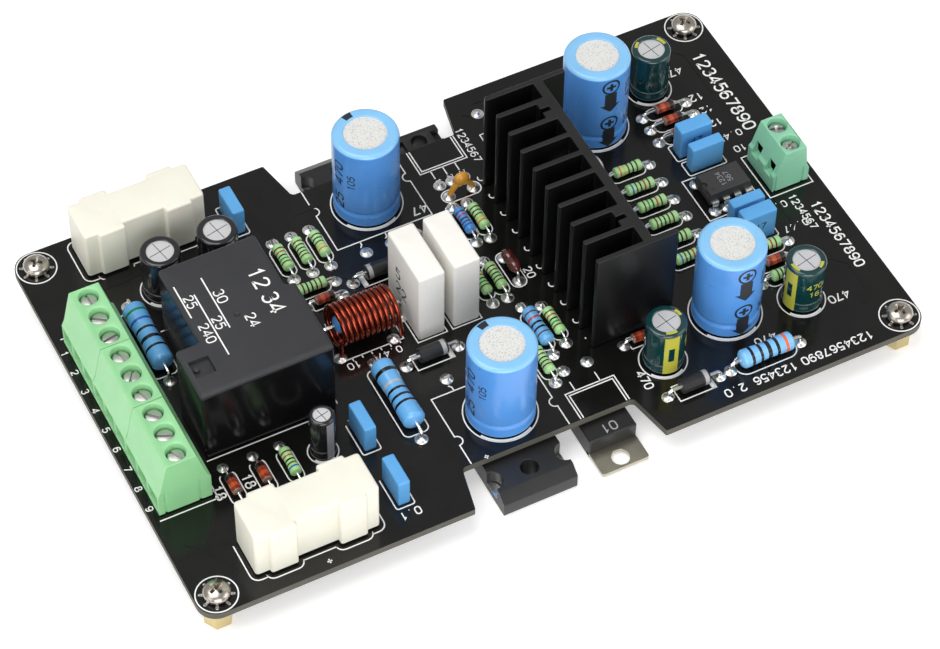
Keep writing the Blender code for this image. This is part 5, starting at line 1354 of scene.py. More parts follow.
@dataclass
class Relay(Part):
    """Sealed relay with a matt lid, glossy sides, a pocket and a gate dimple."""

    left: float = -61.7
    right: float = -34.7
    front: float = -14.3
    back: float = 16.9
    height: float = 19.3

    def plan(self) -> Plan:
        """Plan with a step in the left and the right side."""
        corners = [
            (self.left, self.front), (self.right, self.front), (self.right, 3.05), (self.right - 2.0, 3.05),
            (self.right - 2.0, self.back), (self.left + 4.9, self.back), (self.left + 4.9, -2.3),
            (self.left, -2.3),
        ]
        return Plan(np.array([(x, y, 0.6) for x, y in corners]), 5)

    def build_case(self) -> None:
        """Case with a fine groove under the lid's rounded rim, and the pocket and dimple cut in."""
        base, top = self.deck + 0.3, self.deck + self.height
        levels = [(0.1, base), (0.0, base + 0.2), (0.0, top - 1.35)]
        levels += [(0.12, top - 1.3), (0.12, top - 1.15), (0.0, top - 1.1)]
        levels += rim(0.9, top, range(0, 91, 15))
        surface = Surface().stack(self.plan(), levels)
        bands = np.repeat([1] * 4 + [0] * (len(levels) - 5), len(self.plan().outline()))
        surface.slots[-1] = np.concatenate([bands, [1, 0]]).astype(np.int32)
        pocket = rectangle(-60.8, -56.6, -10.1, -5.9, 0.15)
        cutter = Surface().stack(pocket, [(0.15, top - 1.0), (0.0, top + 1.0)])
        cutter.lathe([(0.3, top - 0.4), (0.65, top - 0.1), (0.75, top + 0.5)], (-47.8, 0.45), 24)
        looks = ("case_plastic", RELAY_MATT, RELAY_GLOSS)
        edge = Edge(0.08, 1, 50.0, 12.0)
        self.add("relay_shell", surface, *looks, node="relay", cutters=(cutter,), edge=edge)
        profile = [(0.62, top - 1.2), (0.62, top - 0.45), (0.5, top - 0.3), (0.2, top - 0.27)]
        self.add("relay_gate_stub", Surface().lathe(profile, (-59.8, -7.8), 24), "case_plastic", RELAY_MATT)

    def build_print(self) -> None:
        """Generic print: three rules and plain numbers, read from the back edge to the front."""
        surface = Surface()
        lid = flat_map((-48.2, 1.3), self.deck + self.height, -90.0)
        ink = Ink(surface, lid, width=0.28, height=0.02)
        for start, stop, v in ((-10.0, 3.2, -2.1), (-6.9, 8.9, -4.9), (-10.3, -2.0, -7.6)):
            ink.stroke([(start, v), (stop, v)])
        for text, size, u, v in (
            ("12", 2.9, -5.2, 7.6), ("34", 2.9, 1.4, 7.6), ("30", 1.9, -4.4, -0.6), ("24", 1.9, 3.4, 2.4),
            ("25", 1.8, 1.2, -3.5), ("25", 1.8, -5.6, -6.25), ("240", 1.8, 2.6, -6.4),
        ):
            ink.number(text, size, (u, v), 0.14)
        self.add("relay_print", surface, "case_plastic", SILK)

    def build(self) -> None:
        """Case, stub and print."""
        self.build_case()
        self.build_print()


@dataclass
class FuseHolder(Part):
    """Base, clips and cartridge under a cream cover that pulls off."""

    number: int
    wall: float = 0.9
    fuse_height: float = 6.3
    fuse_length: float = 20.0
    fuse_radius: float = 2.6

    @staticmethod
    def plan(centre: Place) -> Plan:
        """Plan of a cover: a waisted bar with a bump over each clip."""
        quarter = [(12.6, 4.55, 0.7), (9.8, 4.55, 0.2), (9.8, 5.35, 0.5)]
        quarter += [(4.25, 5.35, 0.5), (4.25, 4.1, 0.2)]
        back = quarter + [(-x, y, r) for x, y, r in quarter[::-1]]
        return Plan(np.array(back + [(-x, -y, r) for x, y, r in back]) + (centre[0], centre[1], 0.0))

    def build_cover(self) -> None:
        """One closed shell: down the inside, up the outside and over the rim of the roof."""
        name = f"fuse_cover_{self.number}"
        base, top = (corner[2] for corner in node_box(name))
        levels = [(self.wall, top - self.wall), (self.wall, base), (0.0, base)]
        levels += rim(0.55, top, range(0, 91, 18))
        surface = Surface().stack(self.plan(node_centre(name)), levels)
        self.add(f"pull_off_cover_{self.number}", surface, "cream_plastic", CREAM, node=name, body=name)

    def clip_section(self) -> Array:
        """Two sprung arms round the cap in Y and Z: a trough of arcs with flared lips."""
        centre, foot = self.deck + self.fuse_height, self.deck + 1.2
        inner, outer = self.fuse_radius + 0.3, self.fuse_radius + 0.7
        outside, inside = arc((0.0, centre), outer, -80, 45, 14), arc((0.0, centre), inner, 45, -90, 14)
        right = np.array([(0.4, foot), (0.4, centre - outer), *outside, *inside])
        return np.concatenate([right, (right * [-1, 1])[::-1][1:]])

    def build_base(self) -> None:
        """Cream base plate with low side rails, and two nickel clips."""
        name = f"fuse_base_{self.number}"
        floor = node_box(name)[0][2]
        cx, cy, _ = node_centre(name)
        levels = [(0.1, floor), (0.0, floor + 0.1), (0.0, floor + 1.05), (0.15, floor + 1.2)]
        surface = Surface().stack(box_plan(cx, cy, 8.6, 2.9, 0.4), levels)
        clips = Surface()
        section = self.clip_section() + [cy, 0.0]
        for side in SIDES:
            levels = [(0, floor + 1.0), (0, floor + 1.8), (0.1, floor + 1.9)]
            surface.stack(box_plan(cx, cy + side * 2.0, 3.6, 0.3), levels)
            x = cx + side * (self.fuse_length / 2 - 2.25)
            clips.prism(section, x - 1.6, x + 1.6, Axis.X)
        self.add(f"fuse_seat_{self.number}", surface, "cream_plastic", CREAM, node=name)
        self.add(f"fuse_clips_{self.number}", clips, "cream_plastic", NICKEL, node=name)

    def build_fuse(self) -> None:
        """Cartridge fuse: two rolled caps, a glass tube and a fine wire."""
        name = f"fuse_{self.number}"
        centre = node_centre(name)
        half, radius = self.fuse_length / 2, self.fuse_radius
        cap = [(radius - 0.35, half), (radius - 0.1, half - 0.1), (radius, half - 0.35)]
        cap += [(radius, half - 4.3), (radius - 0.12, half - 4.5)]
        caps = Surface()
        for side in SIDES:
            caps.lathe([(r, side * h) for r, h in cap[::-side]], centre, 32, Axis.X)
        caps.sweep(np.array([centre + (s, 0.0, 0.0) for s in (-6.0, 0.0, 6.0)]), 0.12, (0, 1, 0), 6)
        self.add(f"fuse_caps_{self.number}", caps, "fuse_glass", TINNED, node=name)
        tube = Surface().lathe([(radius - 0.2, -5.45), (radius - 0.2, 5.45)], centre, 32, Axis.X)
        self.add(f"fuse_glass_{self.number}", tube, "fuse_glass", FUSE_GLASS, node=name)

    def build(self) -> None:
        """Base, cartridge and cover."""
        self.build_base()
        self.build_fuse()
        self.build_cover()


@dataclass
class Heatsink(Part):
    """Black comb heatsink with round-tipped fins, screw slots and two end wings."""

    fins: int = 10
    pitch: float = 5.08
    thickness: float = 1.1
    spine: float = 25.7
    spine_thickness: float = 2.0
    fin_length: float = 10.3
    wing_length: float = 5.1
    boss: float = 1.9
    slot: float = 0.5

    def outline(self) -> Array:
        """Plan from the front wing round the fins to the back wing and along the spine."""
        half, slot, spine = self.thickness / 2, self.slot, self.spine
        tip, edge, back = spine - self.fin_length, spine - self.boss, spine + self.spine_thickness
        wing = back + self.wing_length
        places = [(index - (self.fins - 1) / 2) * self.pitch for index in range(self.fins)]
        first, last = places[0], places[-1]
        corners = [(wing, first - half, 0.25), (wing, first + half, 0.25), (back, first + half, 0.4)]
        corners += [(back, last - half, 0.4), (wing, last - half, 0.25), (wing, last + half, 0.25)]
        for index in range(self.fins - 1, 0, -1):
            y, below = places[index], places[index - 1]
            corners += [(tip, y + half, 0.4), (tip, y - half, 0.4)]
            if index in (2, self.fins - 2):
                middle = (y + below) / 2
                corners += [
                    (edge, y - half, 0.2), (edge, middle + slot, 0.2), (spine, middle + slot, 0.2),
                    (spine, middle - slot, 0.2), (edge, middle - slot, 0.2), (edge, below + half, 0.2),
                ]
            else:
                corners += [(spine, y - half, 0.3), (spine, below + half, 0.3)]
        return rounded([*corners, (tip, first + half, 0.4), (tip, first - half, 0.4)], 3)

    def build(self) -> None:
        """Extrusion with eased sawn ends and the clearance hole for the chip's screw."""
        base, top = (corner[2] for corner in node_box("heatsink"))
        outline = self.outline()
        surface = Surface().stack(outline, eased(base, top, 0.08, 0.1))
        surface.slots[-1][-2 - len(outline) :] = 1
        _, cy, cz = node_centre("chip_screw")
        hole = Surface().lathe([(1.8, -6.0), (1.8, 6.0)], (self.spine + 1.0, cy, cz), 32, Axis.X)
        looks = ("black_anodised", ANODISED, SAWN)
        self.add("comb_heatsink", surface, *looks, node="heatsink", cutters=(hole,))


@dataclass
class DriverChip(Part):
    """Fifteen-pin chip with a metal tab, clamped behind the heatsink by a screw."""

    pins: int = 15
    body_thickness: float = 4.4
    tab_thickness: float = 1.4
    body_height: float = 10.6
    full_height: float = 16.9

    def build(self) -> None:
        """Moulded body, drilled tab, two staggered rows of pins and the clamp screw."""
        node = "driver_chip"
        (face, y0, _), (_, y1, top) = node_box(node)
        bottom, board = top - self.full_height, self.deck
        _, cy, cz = node_centre("chip_screw")
        plan = rectangle(face + 0.15, face + self.body_thickness, y0, y1, 0.15, 2)
        body = Surface().stack(plan, eased(bottom, bottom + self.body_height, 0.25, 0.3))
        self.add("driver_chip_case", body, "case_plastic", EPOXY, node=node)
        outline = rectangle(y0 + 0.1, y1 - 0.1, bottom + 1.0, top, 0.3)
        tab = Surface().stack(outline, eased(face, face + self.tab_thickness, 0.1, 0.1), Axis.X)
        hole = Surface().lathe([(1.8, -3.0), (1.8, 3.0)], (face, cy, cz), 28, Axis.X)
        self.add("driver_chip_tab", tab, "case_plastic", NICKEL, node=node, cutters=(hole,))
        legs = Surface()
        pitch = (y1 - y0) / (self.pins + 1)
        for index in range(self.pins):
            y = y0 + pitch * (index + 1)
            x = face + self.body_thickness * (0.3 if index % 2 else 0.75)
            legs.stack(box_plan(x, y, 0.25, 0.3), [(0, board - 0.5), (0, bottom + 0.5)])
            legs.lathe([(0.85, board), (0.5, board + 0.25), (0.34, board + 0.4)], (x, y), 14)
        self.add("driver_chip_pins", legs, "zinc", TINNED, node=node)
        low, high = node_box("chip_screw")
        seat = face + self.tab_thickness + 0.3
        profile = [(1.2, low[0]), (1.5, low[0] + 0.4), (1.5, seat), (2.6, seat), (2.7, seat + 0.15)]
        profile += dome(2.7, seat + 0.7, high[0] - seat - 0.7)
        screw = Surface().lathe(profile, (0.0, cy, cz), 36, Axis.X)
        self.add("clamp_screw", screw, "zinc", ZINC, node="chip_screw")


class CanStyle(Enum):
    """The four looks of the upright cans."""

    BLUE_PLAIN = "blue_plain"
    BLUE_ARROWED = "blue_arrowed"
    GREEN = "green"
    BLACK = "black"


CAN_LOOKS = {
    CanStyle.BLUE_PLAIN: ("blue_sleeve", BLUE_SLEEVE, SEAL_AND_GROOVE_SHADE, CAN_DISC, INK),
    CanStyle.BLUE_ARROWED: ("blue_sleeve", BLUE_SLEEVE, SEAL_AND_GROOVE_SHADE, CAN_DISC, INK),
    CanStyle.GREEN: ("green_sleeve", GREEN_SLEEVE, SEAL_AND_GROOVE_SHADE, ALUMINIUM, GOLD_INK),
    CanStyle.BLACK: ("case_plastic", BLACK_SLEEVE, SEAL_AND_GROOVE_SHADE, ALUMINIUM, GREY_INK),
}


@dataclass
class ElectrolyticCan(Part):
    """Upright can: rubber seal, beaded sleeve, rolled top ring and a recessed disc."""

    style: CanStyle
    centre: tuple[float, float]
    foot: float
    top: float
    radius: float
    bearing: float = -60.0

    def profile(self) -> tuple[Array, Array]:
        """Radius and height of the sleeve, and the paint of each band."""
        radius, foot, top = self.radius, self.foot, self.top
        dip, roll, share = (0.35, 0.9, 0.65) if radius > 6 else (0.22, 0.6, 0.68)
        bead, opening = foot + (top - foot) * 3.5 / 21, radius * share
        points = [(radius - 0.25, foot + 0.05), (radius, foot + 0.4)]
        for step in np.linspace(-1.0, 1.0, 11):
            points.append((radius - dip * 0.5 * (1 + math.cos(math.pi * step)), bead + step))
        points += [(radius - inset, level) for inset, level in rim(roll, top, range(0, 91, 10))]
        points += [(opening + 0.12, top), (opening, top - 0.08), (opening, top - 0.3)]
        paint = np.ones((len(points) - 1, 3))
        if self.style in (CanStyle.BLUE_PLAIN, CanStyle.BLUE_ARROWED):
            paint[np.array(points)[:-1, 1] > top - roll * 0.75] = (2.6, 1.75, 1.13)
        return np.array(points), paint

    def ink(self, surface: Surface, turn: float = 0.0, level: float | None = None) -> Ink:
        """Print on the wall, some degrees beside the bearing; with a level, lines run up about it."""
        wall = can_map(self.centre, self.radius, self.bearing + turn)

        def upward(points: Array, lift: float) -> Array:
            """Point on the wall with u up from the level and v to the left."""
            return wall(points[..., ::-1] * [-1, 1] + [0, level], lift)

        mapping = wall if level is None else upward
        return Ink(surface, mapping, height=0.025, sink=0.05, slot=3, longest=0.5)

    def add_arrows(self, ink: Ink) -> None:
        """Two thick arrows that point down, each under a ringed plus."""
        for head in (self.top - 2.9, self.top - 13.4):
            ink.stroke(circle((0.0, head), 1.75), closed=True, width=0.42)
            ink.block(-1.0, 1.0, head - 0.3, head + 0.3)
            ink.block(-0.32, 0.32, head - 1.0, head + 1.0, 2)
            tail = max(head - 5.2, self.foot + 2.2)
            ink.block(-1.3, 1.3, tail, head - 1.85)
            ink.taper(tail, tail - 1.9, 2.2, 0.02)

    def add_print(self, surface: Surface) -> None:
        """Print on the wall and the top, by style."""
        ink = self.ink(surface)
        middle = (self.foot + self.top) / 2
        roof = Ink(surface, flat_map(self.centre, self.top), height=0.02, sink=0.05, slot=3)
        if self.style is CanStyle.BLUE_ARROWED:
            self.add_arrows(ink)
            side = self.ink(surface, 42.0, middle)
            side.number("470", 1.8, (4.0, 0.0), 0.15)
            side.number("25", 1.8, (-4.6, 0.0), 0.15)
        elif self.style is CanStyle.BLUE_PLAIN:
            side = self.ink(surface, 0.0, middle)
            side.number("470", 2.3, (3.4, 1.4), 0.15)
            side.number("25", 2.3, (-4.4, 1.4), 0.15)
            side.number("105", 1.5, (2.2, -1.7), 0.14)
            roof.sector(94, 114, 4.75, 6.1, 7)
        elif self.style is CanStyle.GREEN:
            ink.block(-1.5, 1.5, self.foot + 0.4, middle - 1.9)
            ink.block(-1.5, 1.5, middle + 1.9, self.top - 0.65)
            ink.block(-1.5, -0.6, middle - 1.9, middle + 1.9, 2)
            ink.block(0.6, 1.5, middle - 1.9, middle + 1.9, 2)
            side = self.ink(surface, 75.0)
            side.number("470", 1.3, (0.0, self.foot + 7.6), 0.15)
            side.number("16", 1.3, (0.0, self.foot + 5.4), 0.15)
            roof.sector(self.bearing - 20, self.bearing + 20, 2.8, 3.4, 6)
            roof.sector(self.bearing + 100, self.bearing + 130, 2.8, 3.4, 6)
        else:
            half = 1.1 if self.radius > 3 else 0.85
            ink.block(-half, half, self.foot + 0.4, self.top - 0.65)

    def build(self, name: str, node: str) -> None:
        """Sleeve, seal, disc and print as one piece; a plain disc gets a cross of dark raised strokes,
        painted shade where the real disc has pressed grooves.
        """
        profile, paint = self.profile()
        surface = Surface().lathe(profile, self.centre, 96 if self.radius > 6 else 64, paint=paint)
        surface.slots[-1][-2:] = (1, 2)
        self.add_print(surface)
        if self.style in (CanStyle.GREEN, CanStyle.BLACK):
            # Painted shade: the pressed cross is drawn as near-black raised strokes in the seal's dark
            # finish, not as grooves.
            ink = Ink(surface, flat_map(self.centre, self.top - 0.3, 12.0), height=0.02, sink=0.05, slot=1)
            reach = self.radius * 0.6
            ink.stroke([(-reach, 0.0), (reach, 0.0)], width=0.13)
            ink.stroke([(0.0, -reach), (0.0, reach)], width=0.13)
        self.add(name, surface, *CAN_LOOKS[self.style], node=node)


@dataclass(frozen=True)
class AxialStyle:
    """Sizes and bands of a part with a lead at each end."""

    diameter: float
    length: float
    lead: float
    span: float
    waist: float
    body: Colour
    bands: tuple[tuple[float, float, Colour], ...]
    bead: float = 0.16

    def radius_at(self, share: Array) -> Array:
        """Radius along the body, share from -1 to 1: a rounded end, a bulge and a shallow waist."""
        reach = np.abs(share)
        end = np.clip((reach - (1 - self.bead)) / self.bead, 0, 1)
        round_end = np.sqrt(np.clip(1 - end**2.4, 0, 1))
        dip = self.waist * 0.5 * (1 + np.cos(np.pi * np.clip(reach / 0.72, 0, 1)))
        return self.diameter / 2 * np.maximum(round_end * (1 - dip), self.lead / self.diameter)

    def paints(self, share: Array) -> Array:
        """Colour of each band between stations, from the band list."""
        colours = np.tile(np.array(self.body), (len(share) - 1, 1))
        middle = (share[:-1] + share[1:]) / 2
        for start, stop, colour in self.bands:
            colours[(middle > start) & (middle < stop)] = colour
        return colours


def band_row(colours: Sequence[Colour], first: float, step: float, width: float) -> tuple:
    """Evenly spaced bands along a body whose length runs from -1 to 1."""
    middles = [first + index * step for index in range(len(colours))]
    return tuple((m - width / 2, m + width / 2, colour) for m, colour in zip(middles, colours))


BROWN: Colour = (0.10, 0.025, 0.01)
BLACK: Colour = (0.006, 0.006, 0.006)
RED: Colour = (0.45, 0.05, 0.03)
GREEN: Colour = (0.01, 0.22, 0.06)
NAVY: Colour = (0.02, 0.10, 0.45)
YELLOW: Colour = (0.62, 0.50, 0.06)
ORANGE: Colour = (0.75, 0.14, 0.05)
SILVER: Colour = (0.45, 0.46, 0.47)
PALE_GREEN: Colour = (0.40, 0.72, 0.30)
SKY: Colour = (0.14, 0.43, 0.80)
LIGHT_SKY: Colour = (0.20, 0.50, 0.86)
DEEP_SKY: Colour = (0.08, 0.30, 0.72)
AMBER: Colour = (0.27, 0.028, 0.01)
RUST: Colour = (0.55, 0.085, 0.02)
PALE: Colour = (0.25, 0.14, 0.10)
QUARTER_BANDS = (
    (BROWN, GREEN, BLACK, RED, BROWN),
    (BROWN, BLACK, BLACK, BROWN, BROWN),
    (ORANGE, YELLOW, BROWN, BLACK, BROWN),
    (NAVY, BROWN, BLACK, RED, BROWN),
)
DIODE_BANDS = ((-1.0, -0.82, PALE), (-0.45, -0.05, RUST), (0.4, 0.8, BLACK), (0.86, 1.0, PALE))


@dataclass
class AxialParts(Part):
    """Resistors and diodes that lie on the board between two solder joints."""

    stations: int = 56

    def lead_path(self, centre: Place, direction: Array, reach: float, height: float) -> Array:
        """Half of a lead: out along the axis, round a bend and down into the board."""
        bend = min(height - 0.1, 0.9)
        turn = arc((reach - bend, height - bend), bend, 90, 0, 6)
        flat = np.array([(0.0, height), *turn, (reach, 0.25), (reach, -self.layout.thickness / 2)])
        base = np.array([centre[0], centre[1], self.deck])
        return base + flat[:, :1] * direction + flat[:, 1:] * np.array([0.0, 0.0, 1.0])

    def lay(
        self, surface: Surface, place: Place, axis: Axis, style: AxialStyle, height: float = 0.0
    ) -> None:
        """Add one part: a turned body with painted bands, and two bent leads.

        Args:
            surface: Shells of the group; slot 0 is the body and slot 1 the leads.
            place: Middle of the part on the board.
            axis: Direction that the part lies along.
            style: Sizes and colours.
            height: Height of the axis above the board, or zero to rest on the board.
        """
        lift = height or style.diameter / 2 + 0.25
        share = np.linspace(-1, 1, self.stations)
        profile = np.column_stack([style.radius_at(share), share * style.length / 2])
        surface.lathe(profile, (*place, self.deck + lift), 24, axis, style.paints(share))
        direction = turned_to(np.array([0.0, 0.0, 1.0]), axis)
        for side in SIDES:
            path = self.lead_path(place, direction * side, style.span / 2, lift)
            path[0] += direction * side * (style.length / 2 - 0.4)
            surface.sweep(path, style.lead / 2, np.cross(direction, (0.0, 0.0, 1.0)), 10, 1)

    def quarter(self, index: int, body: Colour = PALE_GREEN) -> AxialStyle:
        """Quarter-watt resistor with five bands chosen by its place in the row."""
        colours = QUARTER_BANDS[index % len(QUARTER_BANDS)]
        return AxialStyle(2.3, 6.3, 0.6, 10.16, 0.13, body, band_row(colours, -0.62, 0.29, 0.11))

    def build_quarters(self) -> None:
        """All quarter-watt resistors, one of them blue."""
        surface = Surface()
        for index, place in enumerate(self.layout.quarter_along_y):
            body = DEEP_SKY if place == self.layout.blue_quarter else PALE_GREEN
            self.lay(surface, place, Axis.Y, self.quarter(index, body))
        for index, place in enumerate(self.layout.quarter_along_x, start=1):
            self.lay(surface, place, Axis.X, self.quarter(index))
        self.add("quarter_watt_resistors", surface, "blue_sleeve", ENAMEL, TINNED, node=BOARD)

    def build_power_resistors(self) -> None:
        """Half-watt, one-watt and two-watt resistors and the one through the coil."""
        surface = Surface()
        front = (*band_row((BLACK, BLACK, BLACK, SILVER), -0.46, 0.22, 0.08), (0.54, 0.62, BLACK))
        rear = band_row((BLACK, BLACK, BLACK, NAVY, GREEN), -0.52, 0.3, 0.08)
        for place, bands in zip(self.layout.two_watt, (front, rear)):
            self.lay(surface, place, Axis.Y, AxialStyle(4.6, 15.8, 0.8, 20.2, 0.1, SKY, bands, 0.13))
        bands = band_row((BLACK, BLACK, BLACK, BLACK, ORANGE), -0.62, 0.32, 0.12)
        one = AxialStyle(3.8, 11.7, 0.8, 15.4, 0.1, LIGHT_SKY, bands)
        self.lay(surface, self.layout.one_watt, Axis.X, one)
        inner = AxialStyle(3.6, 11.7, 0.8, 17.0, 0.1, DEEP_SKY, bands)
        self.lay(surface, OutputCoil.centre, Axis.X, inner, OutputCoil.axis_height)
        bands = band_row((BROWN, BLACK, BLACK, RED, BROWN), -0.6, 0.3, 0.1)
        self.lay(surface, self.layout.half_watt, Axis.Y, AxialStyle(3.0, 9.0, 0.6, 13.0, 0.12, SKY, bands))
        self.add("power_resistors", surface, "blue_sleeve", ENAMEL, TINNED, node=BOARD)

    def build_diodes(self) -> None:
        """Glass diodes: clear ends, a rusty middle and a black cathode band."""
        surface = Surface()
        for places, axis, length, span in (
            (self.layout.diodes_along_y, Axis.Y, 4.4, 10.16),
            (self.layout.diodes_along_x, Axis.X, 4.4, 10.16),
            (self.layout.short_diodes, Axis.X, 4.2, 7.62),
        ):
            style = AxialStyle(2.0, length, 0.55, span, 0.02, AMBER, DIODE_BANDS, 0.18)
            for place in places:
                self.lay(surface, place, axis, style)
        self.add("glass_diodes", surface, "enamelled_wire", GLASS_BODY, TINNED, node=BOARD)

    def build_rectifiers(self) -> None:
        """Moulded rectifiers: straight black bodies with a silver band."""
        surface = Surface()
        profile = [(1.3, -3.0), (1.5, -2.8), (1.5, 1.7), (1.505, 1.7)]
        profile += [(1.505, 2.6), (1.5, 2.6), (1.5, 2.8), (1.3, 3.0)]
        for x, y, side in self.layout.rectifiers:
            ordered = [(r, side * h) for r, h in profile[::side]]
            surface.lathe(ordered, (x, y, self.deck + 1.8), 32, Axis.X)
            surface.slots[-1][3 * 32 : 4 * 32] = 2
            for end in SIDES:
                path = self.lead_path((x, y), np.array([float(end), 0.0, 0.0]), 5.6, 1.8)
                path[0, 0] += end * 2.6
                surface.sweep(path, 0.4, (0, 1, 0), 10, 1)
        self.add("rectifiers", surface, "case_plastic", EPOXY, TINNED, SILVER_BAND, node=BOARD)

    def build(self) -> None:
        """Every axial part."""
        self.build_quarters()
        self.build_power_resistors()
        self.build_diodes()
        self.build_rectifiers()


@dataclass
class BoxedParts(Part):
    """Film capacitors, cement resistors, the dipped and the mica capacitor, and the small cans."""

    def add_boxes(self, surface: Surface, places: Iterable[Place], size: Place, ease: float) -> None:
        """Cases with round upright edges and an eased top."""
        base, top = self.deck, self.deck + size[2]
        levels = [(0.1, base - 0.1), (0.0, base + 0.2)]
        levels += [(inset * 0.98, level) for inset, level in rim(ease, top, (0, 20, 40, 60, 75))]
        for x, y in places:
            surface.stack(box_plan(x, y, size[0] / 2, size[1] / 2, ease), [*levels, (ease * 0.985, top)])

    def build_films(self) -> None:
        """Seven blue boxes, with plain numbers on the faces of three."""
        surface, marks = Surface(), Surface()
        layout = self.layout
        self.add_boxes(surface, layout.films_along_y, (2.5, 7.2, 6.5), 0.35)
        self.add_boxes(surface, layout.films_along_x, (7.2, 2.5, 6.5), 0.35)
        self.add_boxes(surface, layout.wide_films, (7.2, 3.2, 7.6), 0.4)
        self.add("film_capacitors", surface, "blue_sleeve", FILM_BLUE, node=BOARD)
        labels = [(place, 1.6, "47") for place in layout.wide_films]
        for (x, y), half, text in (*labels, (layout.films_along_x[1], 1.25, "10")):
            face = wall_map((x, y - half, layout.top + 4.0), 0.0)
            Ink(marks, face, height=0.02).number(text, 1.5, bold=0.17)
        self.add("film_capacitor_print", marks, "blue_sleeve", INK)

    def build_cements(self) -> None:
        """Two upright glazed blocks with eased edges."""
        surface, marks = Surface(), Surface()
        self.add_boxes(surface, self.layout.cements, (5.6, 13.8, 18.0), 0.5)
        self.add("cement_resistors", surface, "cream_plastic", CEMENT, node=BOARD)
        x, y = self.layout.cements[0]
        ink = Ink(marks, wall_map((x - 2.8, y, self.deck + 8.5), -90.0), height=0.02)
        ink.number("5", 2.6, (-2.2, 1.9), 0.14)
        ink.number("22", 2.6, (-0.8, -1.9), 0.14)
        self.add("cement_resistor_print", marks, "cream_plastic", INK)

    def build_dipped(self) -> None:
        """Round mustard bead on splayed coated legs, and the lying brown capacitor."""
        top = self.deck
        bead, legs = Surface(), Surface()
        x, y = self.layout.dipped
        bead.ball((x, y, top + 4.1), (1.65, 1.15, 1.6))
        leg = ((0.5, 3.7), (1.3, 2.7), (2.1, 1.5), (2.65, 0.55))
        for side in SIDES:
            path = softened(np.array([(x + side * reach, y, top + height) for reach, height in leg]))
            bead.sweep(path, np.linspace(0.75, 0.5, len(path)), (0, 1, 0), 16)
        self.add("dipped_capacitor", bead, "enamelled_wire", MUSTARD, node=BOARD)
        x, y = self.layout.mica
        share = np.linspace(-1, 1, 33)
        ends = np.sqrt(np.clip(1 - np.abs(share) ** 3.2, 0.01, 1))
        radius = 1.3 * ends * (1 - 0.16 * np.exp(-((share / 0.3) ** 2)))
        lacquer = Surface()
        lacquer.lathe(np.column_stack([radius, share * 3.0]), (x, y + 0.2, top + 2.6), 28, Axis.Y)
        self.add("mica_capacitor", lacquer, "enamelled_wire", MICA, node=BOARD)
        leg = ((2.4, 2.4), (3.1, 1.2), (3.2, -0.4))
        for side in SIDES:
            path = softened(np.array([(x, y + side * reach, top + height) for reach, height in leg]))
            legs.sweep(path, 0.3, (1, 0, 0), 10)
        self.add("mica_capacitor_leads", legs, "zinc", TINNED, node=BOARD)

    def build_small_cans(self) -> None:
        """Three black cans."""
        foot, top = self.deck + 0.05, self.deck
        cans = [(place, top + 11.7, 4.0) for place in self.layout.black_cans]
        cans.append((self.layout.slim_can, top + 11.5, 2.5))
        for number, (place, height, radius) in enumerate(cans, start=1):
            can = ElectrolyticCan(self.layout, CanStyle.BLACK, place, foot, height, radius, -75.0)
            can.build(f"black_can_{number}", BOARD)

    def build(self) -> None:
        """Every boxed and dipped part."""
        self.build_films()
        self.build_cements()
        self.build_dipped()
        self.build_small_cans()


@dataclass
class OutputCoil(Part):
    """Air-cored winding of enamelled wire with a leg at each end."""

    turns: int = 11
    pitch: float = 1.12
    wire: float = 1.0
    outer: float = 8.9
    centre: tuple[float, float] = (-22.6, 0.0)
    axis_height: float = 5.2

    def build(self) -> None:
        """Helix x = pitch t, y = r cos 2 pi t, z = r sin 2 pi t, with its ends led down."""
        steps = 28
        radius = (self.outer - self.wire) / 2
        cx, cy = self.centre
        height, foot = self.deck + self.axis_height, self.deck + 0.35
        share = np.arange(self.turns * steps + 1) / steps
        angle = math.pi + TURN * share
        x = cx + self.pitch * (share - self.turns / 2)
        helix = np.column_stack([x, cy + radius * np.cos(angle), height + radius * np.sin(angle)])
        first, last = helix[0], helix[-1]
        lead_in = [(first[0], first[1], foot + (height - foot) * ease) for ease in (0, 0.25, 0.5, 0.75)]
        way = np.array([last[0] + 0.5, last[1] - 0.2, foot]) - last
        lead_out = last + way * np.linspace(0.25, 1, 4)[:, None]
        path = np.concatenate([lead_in, helix, lead_out])
        surface = Surface().sweep(path, self.wire / 2, (1.0, 0.0, 0.0), 14)
        self.add("coil_winding", surface, "enamelled_wire", COPPER_ENAMEL, node="output_coil")


@dataclass
class Trimmer(Part):
    """Blue multi-turn trimmer with a slotted brass screw."""

    def build(self) -> None:
        """Case on small feet, and the screw on its own body."""
        low, high = node_box("trimmer")
        cx, cy, _ = node_centre("trimmer")
        base, roof = low[2], high[2]
        levels = [(0.1, base + 0.4), (0.0, base + 0.5), (0.0, roof - 0.25), (0.2, roof)]
        surface = Surface().stack(rectangle(low[0], high[0], low[1], high[1], 0.25), levels)
        for x, y in ((-3.9, -1.8), (-3.9, 1.8), (3.9, -1.8), (3.9, 1.8)):
            surface.lathe([(0.4, base), (0.45, base + 0.5)], (cx + x, cy + y), 14)
        node = "trimmer_screw"
        foot, top = (corner[2] for corner in node_box(node))
        x, y, _ = node_centre(node)
        bore = Surface().lathe([(1.3, foot - 0.3), (1.3, roof + 1.0)], (x, y), 28)
        looks = ("trimmer_blue", TRIMMER_BLUE)
        self.add("trimmer_case", surface, *looks, node="trimmer", cutters=(bore,), edge=Edge(0.05))
        profile = [(1.0, foot), (1.1, foot + 0.1), (1.1, top - 0.2), (0.9, top)]
        screw = Surface().lathe(profile, (x, y), 28)
        slot = Surface().stack(box_plan(x, y, 2.0, 0.25), [(0, top - 0.7), (0, top + 0.5)])
        looks = ("brass", BRASS)
        self.add("adjusting_screw", screw, *looks, node=node, body=node, cutters=(slot,), edge=Edge(0.04))


